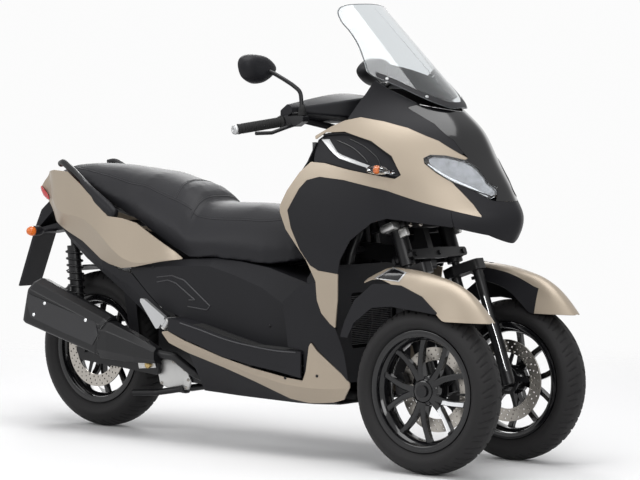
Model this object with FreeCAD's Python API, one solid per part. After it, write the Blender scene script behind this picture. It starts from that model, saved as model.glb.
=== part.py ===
import FreeCAD, Part
import math
import os

from FreeCAD import Vector as V

# A leaning three-wheeled scooter with two steered front wheels, standing upright on its three wheels.
# Millimetres. X points forward, Y to the rider's left, Z up. The origin is on the ground, midway
# between the front tyres' leading edge and the tip of the rear mudguard, on the middle plane.

# Stance
WHEELBASE = 1595.0
FRONT_AXLE_X = 863.0
TRACK = 470.0
CASTER = 20.0
TRAIL = 68.0

# Wheels
TYRE_FRONT_R = 262.0
TYRE_FRONT_W = 120.0
TYRE_REAR_R = 276.0
TYRE_REAR_W = 140.0
BEAD_R = 178.0
RIM_WALL = 7.0
WELL_DEPTH = 14.0
FLANGE_H = 14.0
FLANGE_T = 6.0
RIM_FRONT_HALF = 38.0
RIM_REAR_HALF = 48.0
HUB_R = 34.0
SPOKE_PAIRS = 5
SPOKE_W = 13.0
SPOKE_SPREAD = 24.0
DISC_R = 133.5
DISC_T = 5.0
AXLE_R = 9.0
BEARING_GAP = 0.05

# Front forks and the leaning links that carry them
STEER_Y = 128.0
FORK_Y = 148.0
FORK_FRONT = 62.0
FORK_REAR = -28.0
STANCHION_R = 16.5
SLIDER_R = 20.5
STEM_R = 13.0
SIDE_TUBE_R = 26.0
SIDE_TUBE_LOW = 640.0
SIDE_TUBE_HIGH = 790.0
LINK_LOW_Z = 665.0
LINK_HIGH_Z = 762.0
ARM_REACH = 60.0
PIN_R = 5.0

# Handlebar
HEAD_X = 350.0
HEAD_Z = 1070.0
BAR_R = 11.0
GRIP_R = 16.5
GRIP_OUT = 387.0

# Body
SKIN_T = 4.0
PANEL_GAP = 0.8
RUN = 0.3

REAR_AXLE_X = FRONT_AXLE_X - WHEELBASE
WHEEL_Y = TRACK / 2
GROUND_X = FRONT_AXLE_X + TRAIL
LEAN = math.radians(CASTER)
UP = V(-math.sin(LEAN), 0, math.cos(LEAN))
AHEAD = V(math.cos(LEAN), 0, math.sin(LEAN))
LEFT = V(0, 1, 0)


# Small helpers for wires and solids

def fillet_corner(before, corner, after, radius):
    """Where an arc of this radius leaves the two sides of a corner, and the arc's middle."""
    a = (before - corner)
    b = (after - corner)
    la, lb = a.Length, b.Length
    a = a / la
    b = b / lb
    half = math.acos(max(-1.0, min(1.0, a.dot(b)))) / 2
    if radius <= 0 or half > math.radians(89) or half < math.radians(2):
        return None
    reach = min(radius / math.tan(half), 0.45 * la, 0.45 * lb)
    r = reach * math.tan(half)
    middle = (a + b) / (a + b).Length
    centre = corner + middle * (r / math.sin(half))
    return corner + a * reach, centre - middle * r, corner + b * reach


def rounded_edges(points, radius, closed):
    """Straight runs joined by tangent arcs."""
    n = len(points)
    stops = []
    for i, p in enumerate(points):
        ends = not closed and i in (0, n - 1)
        turn = None if ends else fillet_corner(points[i - 1], p, points[(i + 1) % n], radius)
        stops.append(turn or (p, None, p))
    edges = []
    for i in range(n if closed else n - 1):
        start, end = stops[i], stops[(i + 1) % n]
        if start[2].distanceToPoint(end[0]) > 1e-6:
            edges.append(Part.LineSegment(start[2], end[0]).toShape())
        if end[1] is not None:
            edges.append(Part.Arc(end[0], end[1], end[2]).toShape())
    return edges


def outline(points, radius=0.0):
    return Part.Wire(rounded_edges(points, radius, True))


def side_plate(points, y0, y1, radius=0.0):
    """A plate whose outline is given as (x, z), from y0 to y1."""
    face = Part.Face(outline([V(x, y0, z) for x, z in points], radius))
    return face.extrude(V(0, y1 - y0, 0))


def front_plate(points, x0, x1, radius=0.0):
    """A plate whose outline is given as (y, z), from x0 to x1."""
    face = Part.Face(outline([V(x0, y, z) for y, z in points], radius))
    return face.extrude(V(x1 - x0, 0, 0))


def plan_plate(points, z0, z1, radius=0.0):
    """A plate whose outline is given as (x, y), from z0 to z1."""
    face = Part.Face(outline([V(x, y, z0) for x, y in points], radius))
    return face.extrude(V(0, 0, z1 - z0))


def rod(start, end, radius):
    return Part.makeCylinder(radius, start.distanceToPoint(end), start, end - start)


def tube(points, radius, bend):
    """A round bar along straight runs with bends of one radius."""
    path = Part.Wire(rounded_edges(points, bend, False))
    section = Part.Wire(Part.makeCircle(radius, points[0], points[1] - points[0]))
    return path.makePipeShell([section], True, False)


def turned(profile, centre, axis, radius=0.0):
    """A body of revolution from (radius, along) points about an axis through centre."""
    axis = axis / axis.Length
    side = axis.cross(V(0, 0, 1))
    if side.Length < 0.1:
        side = V(1, 0, 0)
    side = side / side.Length
    points = [centre + side * r + axis * s for r, s in profile]
    return Part.Face(outline(points, radius)).revolve(centre, axis, 360)


def bent_line(points):
    curve = Part.BSplineCurve()
    curve.interpolate(points)
    return curve.toShape()


def band(outer, inner):
    """A closed wire from an outer curve and an inner curve that run the same way."""
    return Part.Wire([
        bent_line(outer),
        Part.LineSegment(outer[-1], inner[-1]).toShape(),
        bent_line(list(reversed(inner))),
        Part.LineSegment(inner[0], outer[0]).toShape(),
    ])


def fused(shapes):
    whole = shapes[0].multiFuse(shapes[1:]) if len(shapes) > 1 else shapes[0]
    return whole.removeSplitter()


def mirrored(shape):
    return shape.mirror(V(0, 0, 0), LEFT)


def pair(shape):
    return Part.Compound([shape, mirrored(shape)])


def ring_loft(sections, ruled):
    """A solid through closed rings of straight edges."""
    return Part.makeLoft([Part.makePolygon(ring + ring[:1]) for ring in sections], True, ruled)


def seated(bar, wall, side):
    """The inner part of a bar that ends just short of a wall on the side it points to."""
    near = wall.copy()
    near.translate(V(0, -side * RUN, 0))
    return min(bar.cut(near).Solids, key=lambda piece: abs(piece.CenterOfMass.y))


def grown(points, by):
    """A closed outline with every side moved outwards by the same distance."""
    area = sum(x0 * z1 - x1 * z0 for (x0, z0), (x1, z1) in zip(points, points[1:] + points[:1]))
    turn = 1 if area > 0 else -1
    result = []
    n = len(points)
    for i in range(n):
        (xa, za), (xb, zb), (xc, zc) = points[i - 1], points[i], points[(i + 1) % n]
        la = math.hypot(xb - xa, zb - za)
        lb = math.hypot(xc - xb, zc - zb)
        na = (turn * (zb - za) / la, -turn * (xb - xa) / la)
        nb = (turn * (zc - zb) / lb, -turn * (xc - xb) / lb)
        mx, mz = na[0] + nb[0], na[1] + nb[1]
        size = max(mx * mx + mz * mz, 0.7)
        result.append((xb + 2 * by * mx / size, zb + 2 * by * mz / size))
    return result


def steer_point(y, z, ahead=0.0, up=0.0):
    """A point beside the steering axis of the wheels: at height z on it, then ahead of it and up it."""
    return V(GROUND_X - math.tan(LEAN) * z, y, z) + AHEAD * ahead + UP * up


def bar_point(z, ahead=0.0, y=0.0):
    """The same for the handlebar's own axis."""
    return V(HEAD_X + math.tan(LEAN) * (HEAD_Z - z), y, z) + AHEAD * ahead


# The fairing's outer skin: at each height a plan curve, straight at the sides and rounded at the nose

VENT_DEPTH = 14.0
SKIN_START_X = 420.0
SKIN_REAR_X = 290.0
SKIN_ROWS = [
    (225, 238, 1000), (330, 250, 1000), (450, 268, 1000), (570, 284, 1000), (700, 296, 1000),
    (760, 299, 1032), (810, 299, 1037), (850, 298, 1016), (902, 294, 986), (979, 282, 935),
    (1073, 245, 878), (1135, 212, 805), (1190, 196, 750), (1240, 186, 700),
]


def skin_curve(half_width, nose_x, z):
    points = [V(SKIN_REAR_X, half_width, z)]
    for step in range(0, 10):
        angle = math.radians(step * 10)
        x = SKIN_START_X + (nose_x - SKIN_START_X) * math.sin(angle) ** 0.87
        y = half_width * math.cos(angle) ** 1.4
        points.append(V(x, max(y, 0.0), z))
    points[-1].y = 0.0
    return points + [V(p.x, -p.y, p.z) for p in reversed(points[:-1])]


def fairing(inset, thickness, low=0, high=len(SKIN_ROWS)):
    """A shell of the fairing, its outer face this far inside the master skin."""
    wires = []
    for z, w, nose in SKIN_ROWS[low:high]:
        outer = skin_curve(w - inset, nose - inset, z)
        inner = skin_curve(w - inset - thickness, nose - inset - thickness, z)
        wires.append(band(outer, inner))
    return Part.makeLoft(wires, True, False)


def fairing_core(inset):
    """The room inside the fairing, this far within the master skin, closed at the rear."""
    wires = []
    for z, w, nose in SKIN_ROWS:
        curve = skin_curve(w - inset, nose - inset, z)
        wires.append(Part.Wire([bent_line(curve), Part.LineSegment(curve[-1], curve[0]).toShape()]))
    return Part.makeLoft(wires, True, False)


SIDE_PANEL = [
    (973, 801), (894, 823), (806, 848), (704, 881), (556, 911), (464, 919), (414, 907), (385, 879),
    (340, 809), (355, 752), (390, 683), (428, 636), (460, 620), (536, 612), (530, 529), (512, 436),
    (493, 450), (462, 483), (448, 524), (447, 585), (412, 652), (333, 747), (308, 802), (308, 824),
    (335, 873), (382, 932), (424, 966), (479, 963), (574, 943), (677, 926), (724, 918), (741, 930),
    (702, 989), (628, 1035), (527, 1063), (455, 1059), (424, 1036), (417, 1048), (470, 1079),
    (514, 1099), (565, 1110), (644, 1098), (723, 1078), (815, 1038), (893, 984), (887, 979),
    (843, 992), (805, 994), (791, 984), (797, 969), (832, 941), (875, 913), (908, 880), (945, 840),
]
SIDE_COWL = [
    (894, 823), (806, 848), (704, 881), (556, 911), (464, 919), (414, 907), (385, 879), (340, 809),
    (355, 752), (390, 683), (428, 636), (460, 620), (536, 612), (546, 657), (585, 720), (661, 778),
    (711, 793), (751, 789), (876, 773), (903, 768),
]
BEAK = [
    (904, 768), (979, 745), (1006, 722), (1016, 715), (1080, 715), (1080, 850), (987, 852), (973, 857),
    (928, 888), (875, 913), (908, 880), (945, 840), (973, 801), (894, 823),
]
VENT = [
    (424, 966), (479, 963), (574, 943), (677, 926), (724, 918), (741, 930), (702, 989), (628, 1035),
    (527, 1063), (455, 1059), (424, 1036),
]
LAMP = [
    (791, 984), (805, 994), (843, 992), (887, 979), (920, 957), (945, 926), (956, 910), (977, 894),
    (984, 871), (973, 857), (928, 888), (875, 913), (832, 941), (797, 969),
]
NOSE_PANEL = [
    (690, 1142), (784, 1091), (848, 1038), (893, 984), (887, 979), (920, 957), (945, 926), (956, 910),
    (977, 894), (984, 871), (987, 852), (1080, 850), (1080, 960), (900, 1150), (809, 1131), (716, 1152),
]
UPPER_COWL = [
    (520, 1101), (565, 1110), (644, 1098), (723, 1078), (815, 1038), (893, 984), (848, 1038),
    (784, 1091), (690, 1142), (716, 1152), (621, 1202), (580, 1228), (562, 1190), (538, 1147),
]
EDGE = 6.0
REACH = 340.0


def cut_panel(shell, points, y0, y1, radius=EDGE):
    return shell.common(side_plate(grown(points, -PANEL_GAP / 2), y0, y1, radius))


def side_panels(shell):
    return pair(cut_panel(shell, SIDE_PANEL, 10, REACH, 3))


def side_cowls(shell):
    return pair(cut_panel(shell, SIDE_COWL, 10, REACH))


def beak(shell):
    return cut_panel(shell, BEAK, -REACH, REACH, 3)


def vent_insets(shell):
    return pair(cut_panel(shell, VENT, 10, REACH))


def nose_panel(shell):
    return cut_panel(shell, NOSE_PANEL, -REACH, REACH, 3)


def upper_cowl(shell):
    return pair(cut_panel(shell, UPPER_COWL, 10, REACH, 3))


def lamp_lenses(shell):
    return pair(cut_panel(shell, LAMP, 10, REACH, 3))


# Wheels

def tyre(radius, width, seat_half, y):
    """A tyre as a ring with a round crown, its beads on the rim between the flanges."""
    half = width / 2
    rise = radius - BEAD_R - FLANGE_H
    bead = seat_half - RUN
    flank = [
        (BEAD_R + FLANGE_H, bead), (BEAD_R + FLANGE_H + rise * 0.14, half * 0.86),
        (BEAD_R + FLANGE_H + rise * 0.42, half), (BEAD_R + FLANGE_H + rise * 0.74, half * 0.80),
        (radius - rise * 0.055, half * 0.42), (radius, 0),
    ]
    points = [V(0, y + w, r) for r, w in flank] + [V(0, y - w, r) for r, w in reversed(flank[:-1])]
    crown = bent_line(points)
    corners = [points[-1], V(0, y - bead, BEAD_R), V(0, y + bead, BEAD_R), points[0]]
    walls = [Part.LineSegment(a, b).toShape() for a, b in zip(corners, corners[1:])]
    return Part.Face(Part.Wire([crown] + walls)).revolve(V(0, 0, 0), LEFT, 360)


def rim(seat_half, y, hub_half, outside):
    """A cast rim: a dropped-centre barrel with flanges, a hub and pairs of spokes."""
    well = BEAD_R - WELL_DEPTH
    lip = seat_half + FLANGE_T
    top = BEAD_R + FLANGE_H - RUN
    inside = BEAD_R - RIM_WALL
    barrel = turned([
        (top, -lip), (top, -seat_half), (BEAD_R, -seat_half), (BEAD_R, -seat_half + 13),
        (well, -seat_half + 20), (well, seat_half - 20), (BEAD_R, seat_half - 13), (BEAD_R, seat_half),
        (top, seat_half), (top, lip), (inside, lip), (inside, seat_half - 9),
        (well - RIM_WALL, seat_half - 17), (well - RIM_WALL, -seat_half + 17), (inside, -seat_half + 9),
        (inside, -lip),
    ], V(0, y, 0), LEFT)
    hub = rod(V(0, y - hub_half, 0), V(0, y + hub_half, 0), HUB_R)
    spokes = []
    for index in range(SPOKE_PAIRS):
        for side in (-1, 1):
            root = math.radians(index * 360 / SPOKE_PAIRS + 18 + side * 8)
            tip = math.radians(index * 360 / SPOKE_PAIRS + 18 + side * SPOKE_SPREAD * 0.7)
            spokes.append(spoke(root, tip, y + outside, well - RIM_WALL / 2))
    return fused([barrel, hub] + spokes)


def spoke(root, tip, y, reach):
    """One flat-sided spoke from the hub to the barrel."""
    start = V(math.sin(root), 0, math.cos(root)) * (HUB_R - 4)
    end = V(math.sin(tip), 0, math.cos(tip)) * reach
    run = end - start
    side = run.cross(LEFT)
    side = side / side.Length * (SPOKE_W / 2)
    depth = 26.0
    base = V(0, y - depth / 2, 0)
    corners = [start - side * 1.3, end - side, end + side, start + side * 1.3]
    face = Part.Face(outline([c + base for c in corners]))
    return face.extrude(V(0, depth, 0))


def brake_disc(y, inner=HUB_R):
    """A drilled brake disc on five arms."""
    ring = rod(V(0, y, 0), V(0, y + DISC_T, 0), DISC_R)
    ring = ring.cut(rod(V(0, y - 1, 0), V(0, y + DISC_T + 1, 0), inner))
    windows = []
    for index in range(5):
        turn = index * 72 + 36
        window = turned([(inner + 22, -1), (DISC_R - 36, -1), (DISC_R - 36, DISC_T + 1),
                         (inner + 22, DISC_T + 1)], V(0, y, 0), LEFT)
        wedge = Part.makeCylinder(DISC_R, DISC_T + 2, V(0, y - 1, 0), LEFT, 48)
        wedge.rotate(V(0, 0, 0), LEFT, turn)
        windows.append(window.common(wedge))
    return ring.cut(Part.Compound(windows))


def placed(shape, x, z):
    moved = shape.copy()
    moved.translate(V(x, 0, z))
    return moved


def bored(shape, y0, y1, radius):
    return shape.cut(rod(V(0, y0, 0), V(0, y1, 0), radius))


HUB_FRONT_HALF = 30.0
HUB_REAR_HALF = 62.0
DISC_FRONT_Y = WHEEL_Y - 45.0
DISC_REAR_Y = -50.0


def front_wheel():
    """Tyre, rim and disc of the left front wheel, about their own axle."""
    ring = tyre(TYRE_FRONT_R, TYRE_FRONT_W, RIM_FRONT_HALF, WHEEL_Y)
    cast = rim(RIM_FRONT_HALF, WHEEL_Y, HUB_FRONT_HALF, 16)
    boss = rod(V(0, DISC_FRONT_Y, 0), V(0, WHEEL_Y, 0), HUB_R)
    cast = cast.fuse(boss).removeSplitter()
    cast = bored(cast, 0, WHEEL_Y + 200, AXLE_R + BEARING_GAP)
    disc = brake_disc(DISC_FRONT_Y, HUB_R + 0.02)
    return [placed(s, FRONT_AXLE_X, TYRE_FRONT_R) for s in (ring, cast, disc)]


def rear_wheel():
    ring = tyre(TYRE_REAR_R, TYRE_REAR_W, RIM_REAR_HALF, 0)
    cast = rim(RIM_REAR_HALF, 0, HUB_REAR_HALF, -14)
    cast = bored(cast, -200, 200, AXLE_R + BEARING_GAP)
    disc = brake_disc(DISC_REAR_Y - DISC_T, HUB_R + 0.02)
    return [placed(s, REAR_AXLE_X, TYRE_REAR_R) for s in (ring, cast, disc)]


# Front forks

YOKE_Z = 612.0
YOKE_T = 34.0
FORK_ARM_Z = 806.0
SLIDER_TOP_Z = 430.0


def front_fork():
    """Left fork: stem, yoke, two stanchions, two sliders, axle and steering arm, in one piece."""
    axle = V(FRONT_AXLE_X, WHEEL_Y, TYRE_FRONT_R)
    foot = steer_point(FORK_Y, TYRE_FRONT_R)
    stem = rod(steer_point(STEER_Y, YOKE_Z), steer_point(STEER_Y, FORK_ARM_Z + 14), STEM_R)
    yoke_corners = []
    for ahead, y in ((FORK_FRONT + 26, FORK_Y + 22), (FORK_FRONT + 26, FORK_Y - 30),
                     (0, STEER_Y - 30), (FORK_REAR - 26, FORK_Y - 30), (FORK_REAR - 26, FORK_Y + 22)):
        yoke_corners.append(steer_point(y, YOKE_Z - 16, ahead))
    yoke = Part.Face(outline(yoke_corners, 14)).extrude(UP * YOKE_T)
    pieces = [stem, yoke]
    lower = -30.0
    for ahead in (FORK_FRONT, FORK_REAR):
        top = steer_point(FORK_Y, YOKE_Z, ahead, 14)
        slider_top = steer_point(FORK_Y, SLIDER_TOP_Z, ahead)
        bottom = foot + AHEAD * ahead + UP * lower
        pieces.append(rod(slider_top, top, STANCHION_R))
        pieces.append(rod(bottom, slider_top, SLIDER_R))
    low = foot + UP * (lower + 8)
    bridge = []
    for ahead, up in ((FORK_FRONT, 0), (FORK_FRONT, 70), (FORK_REAR, 70), (FORK_REAR, 0)):
        bridge.append(low + AHEAD * ahead + UP * up - LEFT * 14)
    pieces.append(Part.Face(outline(bridge)).extrude(LEFT * 28))
    pieces.append(rod(V(axle.x, FORK_Y - 18, axle.z), V(axle.x, DISC_FRONT_Y - 3, axle.z), 24))
    pieces.append(rod(V(axle.x, FORK_Y, axle.z), V(axle.x, WHEEL_Y + HUB_FRONT_HALF + 6, axle.z), AXLE_R))
    cap_y = WHEEL_Y + HUB_FRONT_HALF + 0.5
    pieces.append(rod(V(axle.x, cap_y, axle.z), V(axle.x, cap_y + 8, axle.z), 20))
    arm = []
    for ahead, y in ((-18, -16), (ARM_REACH, -12), (ARM_REACH + 12, 0), (ARM_REACH, 12), (-18, 16)):
        arm.append(steer_point(STEER_Y + y, FORK_ARM_Z - 8, ahead))
    pieces.append(Part.Face(outline(arm, 6)).extrude(UP * 10))
    pin = steer_point(STEER_Y, FORK_ARM_Z - 8, ARM_REACH)
    pieces.append(rod(pin, pin + UP * 30, PIN_R))
    pieces.append(caliper())
    drop = -30
    bracket = []
    for y, ahead in ((FORK_Y, 30), (FORK_Y, FORK_FRONT), (WHEEL_Y + 12, FORK_FRONT), (WHEEL_Y + 12, 34)):
        bracket.append(steer_point(y, YOKE_Z - 10, ahead, drop))
    pieces.append(Part.Face(outline(bracket)).extrude(UP * 10))
    post = steer_point(WHEEL_Y, YOKE_Z - 10, 47, drop)
    seat = front_fender_top()
    seat.translate(V(0, 0, -RUN))
    post = rod(post, post + V(0, 0, 90), 8).cut(seat)
    pieces.append(min(post.Solids, key=lambda s: s.BoundBox.ZMin))
    return fused(pieces)


def caliper():
    """Brake caliper behind the sliders, reaching over the disc's edge."""
    centre = V(FRONT_AXLE_X, 0, TYRE_FRONT_R)
    block = []
    for ahead, up in ((-136, 18), (-88, 22), (-88, 88), (-126, 78)):
        block.append(centre + AHEAD * ahead + UP * up)
    face = Part.Face(outline([p + LEFT * (DISC_FRONT_Y - 24) for p in block], 10))
    body = face.extrude(LEFT * 56)
    slot = rod(centre + LEFT * (DISC_FRONT_Y - 4), centre + LEFT * (DISC_FRONT_Y + DISC_T + 4), DISC_R + 4)
    hanger = []
    for ahead, up in ((-110, 40), (-40, 30), (-40, 80), (-110, 86)):
        hanger.append(centre + AHEAD * ahead + UP * up + LEFT * (FORK_Y + 4))
    plate = Part.Face(outline(hanger, 6)).extrude(LEFT * (DISC_FRONT_Y - 22 - FORK_Y - 4))
    return body.cut(slot).fuse(plate)


# Leaning links, fixed upright while parked

def lean_links():
    """Two pairs of cross links with their pivot bolts."""
    pieces = []
    for z in (LINK_LOW_Z, LINK_HIGH_Z):
        for ahead in (-SIDE_TUBE_R - 16, SIDE_TUBE_R + 6):
            corners = []
            for y, half in ((-STEER_Y - 20, 14), (0, 18), (STEER_Y + 20, 14)):
                corners.append(steer_point(y, z, ahead, -half))
            for y, half in ((STEER_Y + 20, 14), (0, 18), (-STEER_Y - 20, 14)):
                corners.append(steer_point(y, z, ahead, half))
            pieces.append(Part.Face(outline(corners, 10)).extrude(AHEAD * 10))
        for y in (-STEER_Y, 0, STEER_Y):
            if y == 0:
                reach = SIDE_TUBE_R + 22
                pieces.append(rod(steer_point(0, z, -reach), steer_point(0, z, reach), 8))
                continue
            for a, b in ((-SIDE_TUBE_R - 22, -SIDE_TUBE_R + 6), (SIDE_TUBE_R - 6, SIDE_TUBE_R + 22)):
                pieces.append(rod(steer_point(y, z, a), steer_point(y, z, b), 8))
    return fused(pieces)


def side_tubes():
    """The two upright tubes in which the fork stems turn."""
    barrel = rod(steer_point(STEER_Y, SIDE_TUBE_LOW), steer_point(STEER_Y, SIDE_TUBE_HIGH), SIDE_TUBE_R)
    for z in (LINK_LOW_Z, LINK_HIGH_Z):
        barrel = barrel.fuse(rod(steer_point(STEER_Y, z, -SIDE_TUBE_R - 5.7),
                                 steer_point(STEER_Y, z, SIDE_TUBE_R + 5.7), 17))
        barrel = barrel.cut(rod(steer_point(STEER_Y, z, -SIDE_TUBE_R - 30),
                                steer_point(STEER_Y, z, -SIDE_TUBE_R + 8), 8.05))
        barrel = barrel.cut(rod(steer_point(STEER_Y, z, SIDE_TUBE_R - 8),
                                steer_point(STEER_Y, z, SIDE_TUBE_R + 30), 8.05))
    barrel = barrel.cut(rod(steer_point(STEER_Y, SIDE_TUBE_LOW, 0, -5),
                            steer_point(STEER_Y, SIDE_TUBE_HIGH, 0, 5), STEM_R + BEARING_GAP))
    return pair(barrel)


def steering_link():
    """T-shaped link that ties both fork arms to the handlebar's arm."""
    base_z = FORK_ARM_Z
    t = 8.0
    lift = 3.0
    corners = [steer_point(-STEER_Y - 12, base_z, ARM_REACH - 9, lift),
               steer_point(STEER_Y + 12, base_z, ARM_REACH - 9, lift),
               steer_point(STEER_Y + 12, base_z, ARM_REACH + 9, lift),
               steer_point(-STEER_Y - 12, base_z, ARM_REACH + 9, lift)]
    cross = Part.Face(outline(corners, 8)).extrude(UP * t)
    rear = bar_arm_pin()
    front = steer_point(0, base_z, ARM_REACH, lift)
    run = front - rear
    along_up = run.dot(UP)
    stem_end = rear + UP * along_up
    stem = []
    for ahead, y in ((-12, -9), (run.dot(AHEAD), -9), (run.dot(AHEAD), 9), (-12, 9)):
        stem.append(stem_end + AHEAD * ahead + LEFT * y)
    shaft = Part.Face(outline(stem, 6)).extrude(UP * t)
    link = cross.fuse(shaft)
    for y in (-STEER_Y, STEER_Y):
        hole = steer_point(y, base_z, ARM_REACH)
        link = link.cut(rod(hole - UP * 5, hole + UP * 40, PIN_R + RUN))
    link = link.cut(rod(stem_end - UP * 20, stem_end + UP * 30, PIN_R + BEARING_GAP))
    return link.removeSplitter()


BAR_ARM_Z = 738.0


def bar_arm_pin():
    return bar_point(BAR_ARM_Z, ARM_REACH)


# Handlebar

def handlebar():
    """Stem, top clamp, bent bar, brake levers and the arm at the stem's foot."""
    foot = bar_point(BAR_ARM_Z - 6)
    top = bar_point(HEAD_Z)
    pieces = [rod(foot, top, STEM_R)]
    arm = []
    for ahead, y in ((-18, -16), (ARM_REACH, -12), (ARM_REACH + 12, 0), (ARM_REACH, 12), (-18, 16)):
        arm.append(foot + AHEAD * ahead + LEFT * y)
    pieces.append(Part.Face(outline(arm, 6)).extrude(UP * 10))
    pin = foot + AHEAD * ARM_REACH
    link_up = (steer_point(0, FORK_ARM_Z, ARM_REACH, 3) - pin).dot(UP)
    pieces.append(rod(pin, pin + UP * (link_up + 12), PIN_R))
    for side in (-1, 1):
        route = [V(HEAD_X, 0, HEAD_Z), V(HEAD_X - 8, side * 60, HEAD_Z + 2),
                 V(HEAD_X - 74, side * 190, HEAD_Z + 34), V(HEAD_X - 90, side * 235, HEAD_Z + 21),
                 V(HEAD_X - 150, side * GRIP_OUT, HEAD_Z - 4)]
        pieces.append(tube(route, BAR_R, 26))
        pieces.append(lever(side))
    pieces.append(rod(top - UP * 30, top + UP * 14, 24))
    return fused(pieces)


def lever(side):
    """Master cylinder, perch and lever ahead of the grip."""
    perch = rod(V(HEAD_X - 88, side * 215, HEAD_Z + 26), V(HEAD_X - 94, side * 240, HEAD_Z + 20), 19)
    body = side_plate([(HEAD_X - 92, HEAD_Z + 8), (HEAD_X - 30, HEAD_Z + 6), (HEAD_X + 2, HEAD_Z + 24),
                       (HEAD_X + 2, HEAD_Z + 42), (HEAD_X - 26, HEAD_Z + 42), (HEAD_X - 92, HEAD_Z + 36)],
                      side * 208, side * 240, 6)
    blade = tube([V(HEAD_X - 46, side * 224, HEAD_Z + 12), V(HEAD_X - 46, side * 262, HEAD_Z + 4),
                  V(HEAD_X - 62, side * 318, HEAD_Z - 14), V(HEAD_X - 84, side * 372, HEAD_Z - 16)], 6, 24)
    return fused([perch, body, blade])


def grips():
    a = V(HEAD_X - 90, 235, HEAD_Z + 21)
    b = V(HEAD_X - 150, GRIP_OUT, HEAD_Z - 4)
    run = (b - a) / (b - a).Length
    start, end = a + run * 22, b + run * 2
    grip = rod(start, end, GRIP_R).fuse(rod(end - run * 2, end + run * 10, GRIP_R + 2))
    grip = grip.cut(rod(a, b + run * 0.5, BAR_R + BEARING_GAP))
    return pair(grip.removeSplitter())


def bar_cover():
    """Moulded cover over the middle of the bar, as a solid block with the bar's room cut out."""
    rows = [(-232, 252, 300, 1100, 1150), (-150, 262, 380, 1094, 1164), (-60, 296, 452, 1086, 1182),
            (0, 304, 462, 1086, 1186), (60, 296, 452, 1086, 1182), (150, 262, 380, 1094, 1164),
            (232, 252, 300, 1100, 1150)]
    wires = []
    for y, x0, x1, z0, z1 in rows:
        wires.append(outline([V(x0, y, z0), V(x1, y, z0 + 20), V(x1, y, z1 - 12), V(x0 + 30, y, z1),
                              V(x0, y, z1 - 22)], 8))
    return Part.makeLoft(wires, True, False).cut(handlebar())


MIRROR_X = 202.0
MIRROR_EDGE = [
    (396, 1272), (380, 1302), (336, 1312), (270, 1302), (222, 1266), (252, 1230), (312, 1209), (372, 1230),
]
MIRROR_MIDDLE = (308.0, 1262.0)


def mirror_ring(x, scale, radius):
    """The mirror's rounded outline about its middle."""
    y0, z0 = MIRROR_MIDDLE
    return outline([V(x, y0 + (y - y0) * scale, z0 + (z - z0) * scale) for y, z in MIRROR_EDGE], radius)


def mirror_stalks():
    """Mirror arms that stand on the brake housings, with their shells."""
    stem = tube([V(338, 226, HEAD_Z + 42 + RUN), V(334, 229, 1186), V(300, 256, 1222), V(230, 280, 1262)],
                7, 24)
    shell = Part.makeLoft([mirror_ring(MIRROR_X, 1, 14), mirror_ring(MIRROR_X + 18, 1, 14),
                           mirror_ring(MIRROR_X + 44, 0.7, 9.8)], True, True)
    return pair(stem.fuse(shell).removeSplitter())


def mirror_glasses():
    return pair(Part.Face(mirror_ring(MIRROR_X - RUN, 0.93, 12)).extrude(V(-2, 0, 0)))


# Windscreen

SCREEN_FOOT = (809.0, 1135.0)
SCREEN_TOP = (439.0, 1480.0)
SCREEN_BOW = 0.0032
SCREEN_T = 4.0
SCREEN_EDGE = [
    (0, 1141), (40, 1139), (64, 1147), (102, 1169), (150, 1212), (186, 1242), (172, 1290), (156, 1340),
    (149, 1380), (150, 1420), (136, 1456), (92, 1474), (0, 1478),
]


def screen_sheet(inset, thickness):
    """A bowed sheet along the screen's rake."""
    run = V(SCREEN_TOP[0] - SCREEN_FOOT[0], 0, SCREEN_TOP[1] - SCREEN_FOOT[1])
    start = V(SCREEN_FOOT[0], 0, SCREEN_FOOT[1]) - run * 0.2 - V(inset, 0, 0)
    outer = [start + V(-SCREEN_BOW * y * y, y, 0) for y in range(-200, 201, 50)]
    inner = [p - V(thickness * 1.45, 0, 0) for p in outer]
    return Part.Face(band(outer, inner)).extrude(run * 1.4)


def windscreen():
    right = [(-y, z) for y, z in reversed(SCREEN_EDGE[1:-1])]
    return screen_sheet(0, SCREEN_T).common(front_plate(SCREEN_EDGE + right, 300, 1000, 14))


# Body pieces that run front to back, each a strip of sections (x, then the outer curve as (y, z))

def strip(rows, thickness, ruled=False):
    """A shell lofted along X from rows of (x, [(y, z), ...]), with straight edges and its wall inside."""
    rings = []
    for x, curve in rows:
        outer = [V(x, y, z) for y, z in curve]
        inner = [V(x, y - thickness, z) for y, z in curve]
        rings.append(outer + list(reversed(inner)))
    return ring_loft(rings, ruled)


TAIL_PANEL = [
    (-972, 848), (-955, 866), (-905, 901), (-856, 908), (-775, 904), (-694, 862), (-590, 799), (-540, 757),
    (-470, 752), (-400, 738), (-281, 678), (-184, 629), (-184, 625), (-281, 612), (-400, 589), (-470, 581),
    (-540, 592), (-590, 606), (-694, 664), (-775, 694), (-856, 726), (-905, 762), (-955, 812), (-972, 834),
]


def tail_panels():
    """The long panels under the seat, creased along their widest line, cut to their outline."""
    rows = []
    for x, top_y, top_z, mid_y, mid_z, low_y, low_z in (
            (-990, 84, 900, 92, 862, 78, 780), (-860, 142, 950, 148, 812, 122, 700),
            (-700, 180, 905, 188, 748, 160, 640), (-560, 199, 830, 212, 684, 184, 570),
            (-480, 204, 790, 221, 630, 196, 550), (-400, 209, 770, 223, 604, 204, 560),
            (-280, 214, 710, 220, 616, 212, 590), (-170, 216, 660, 217, 624, 216, 600)):
        rows.append((x, [(top_y, top_z), (mid_y, mid_z), (low_y, low_z)]))
    return pair(strip(rows, SKIN_T).common(side_plate(TAIL_PANEL, 40, 300, 4)))


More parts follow.
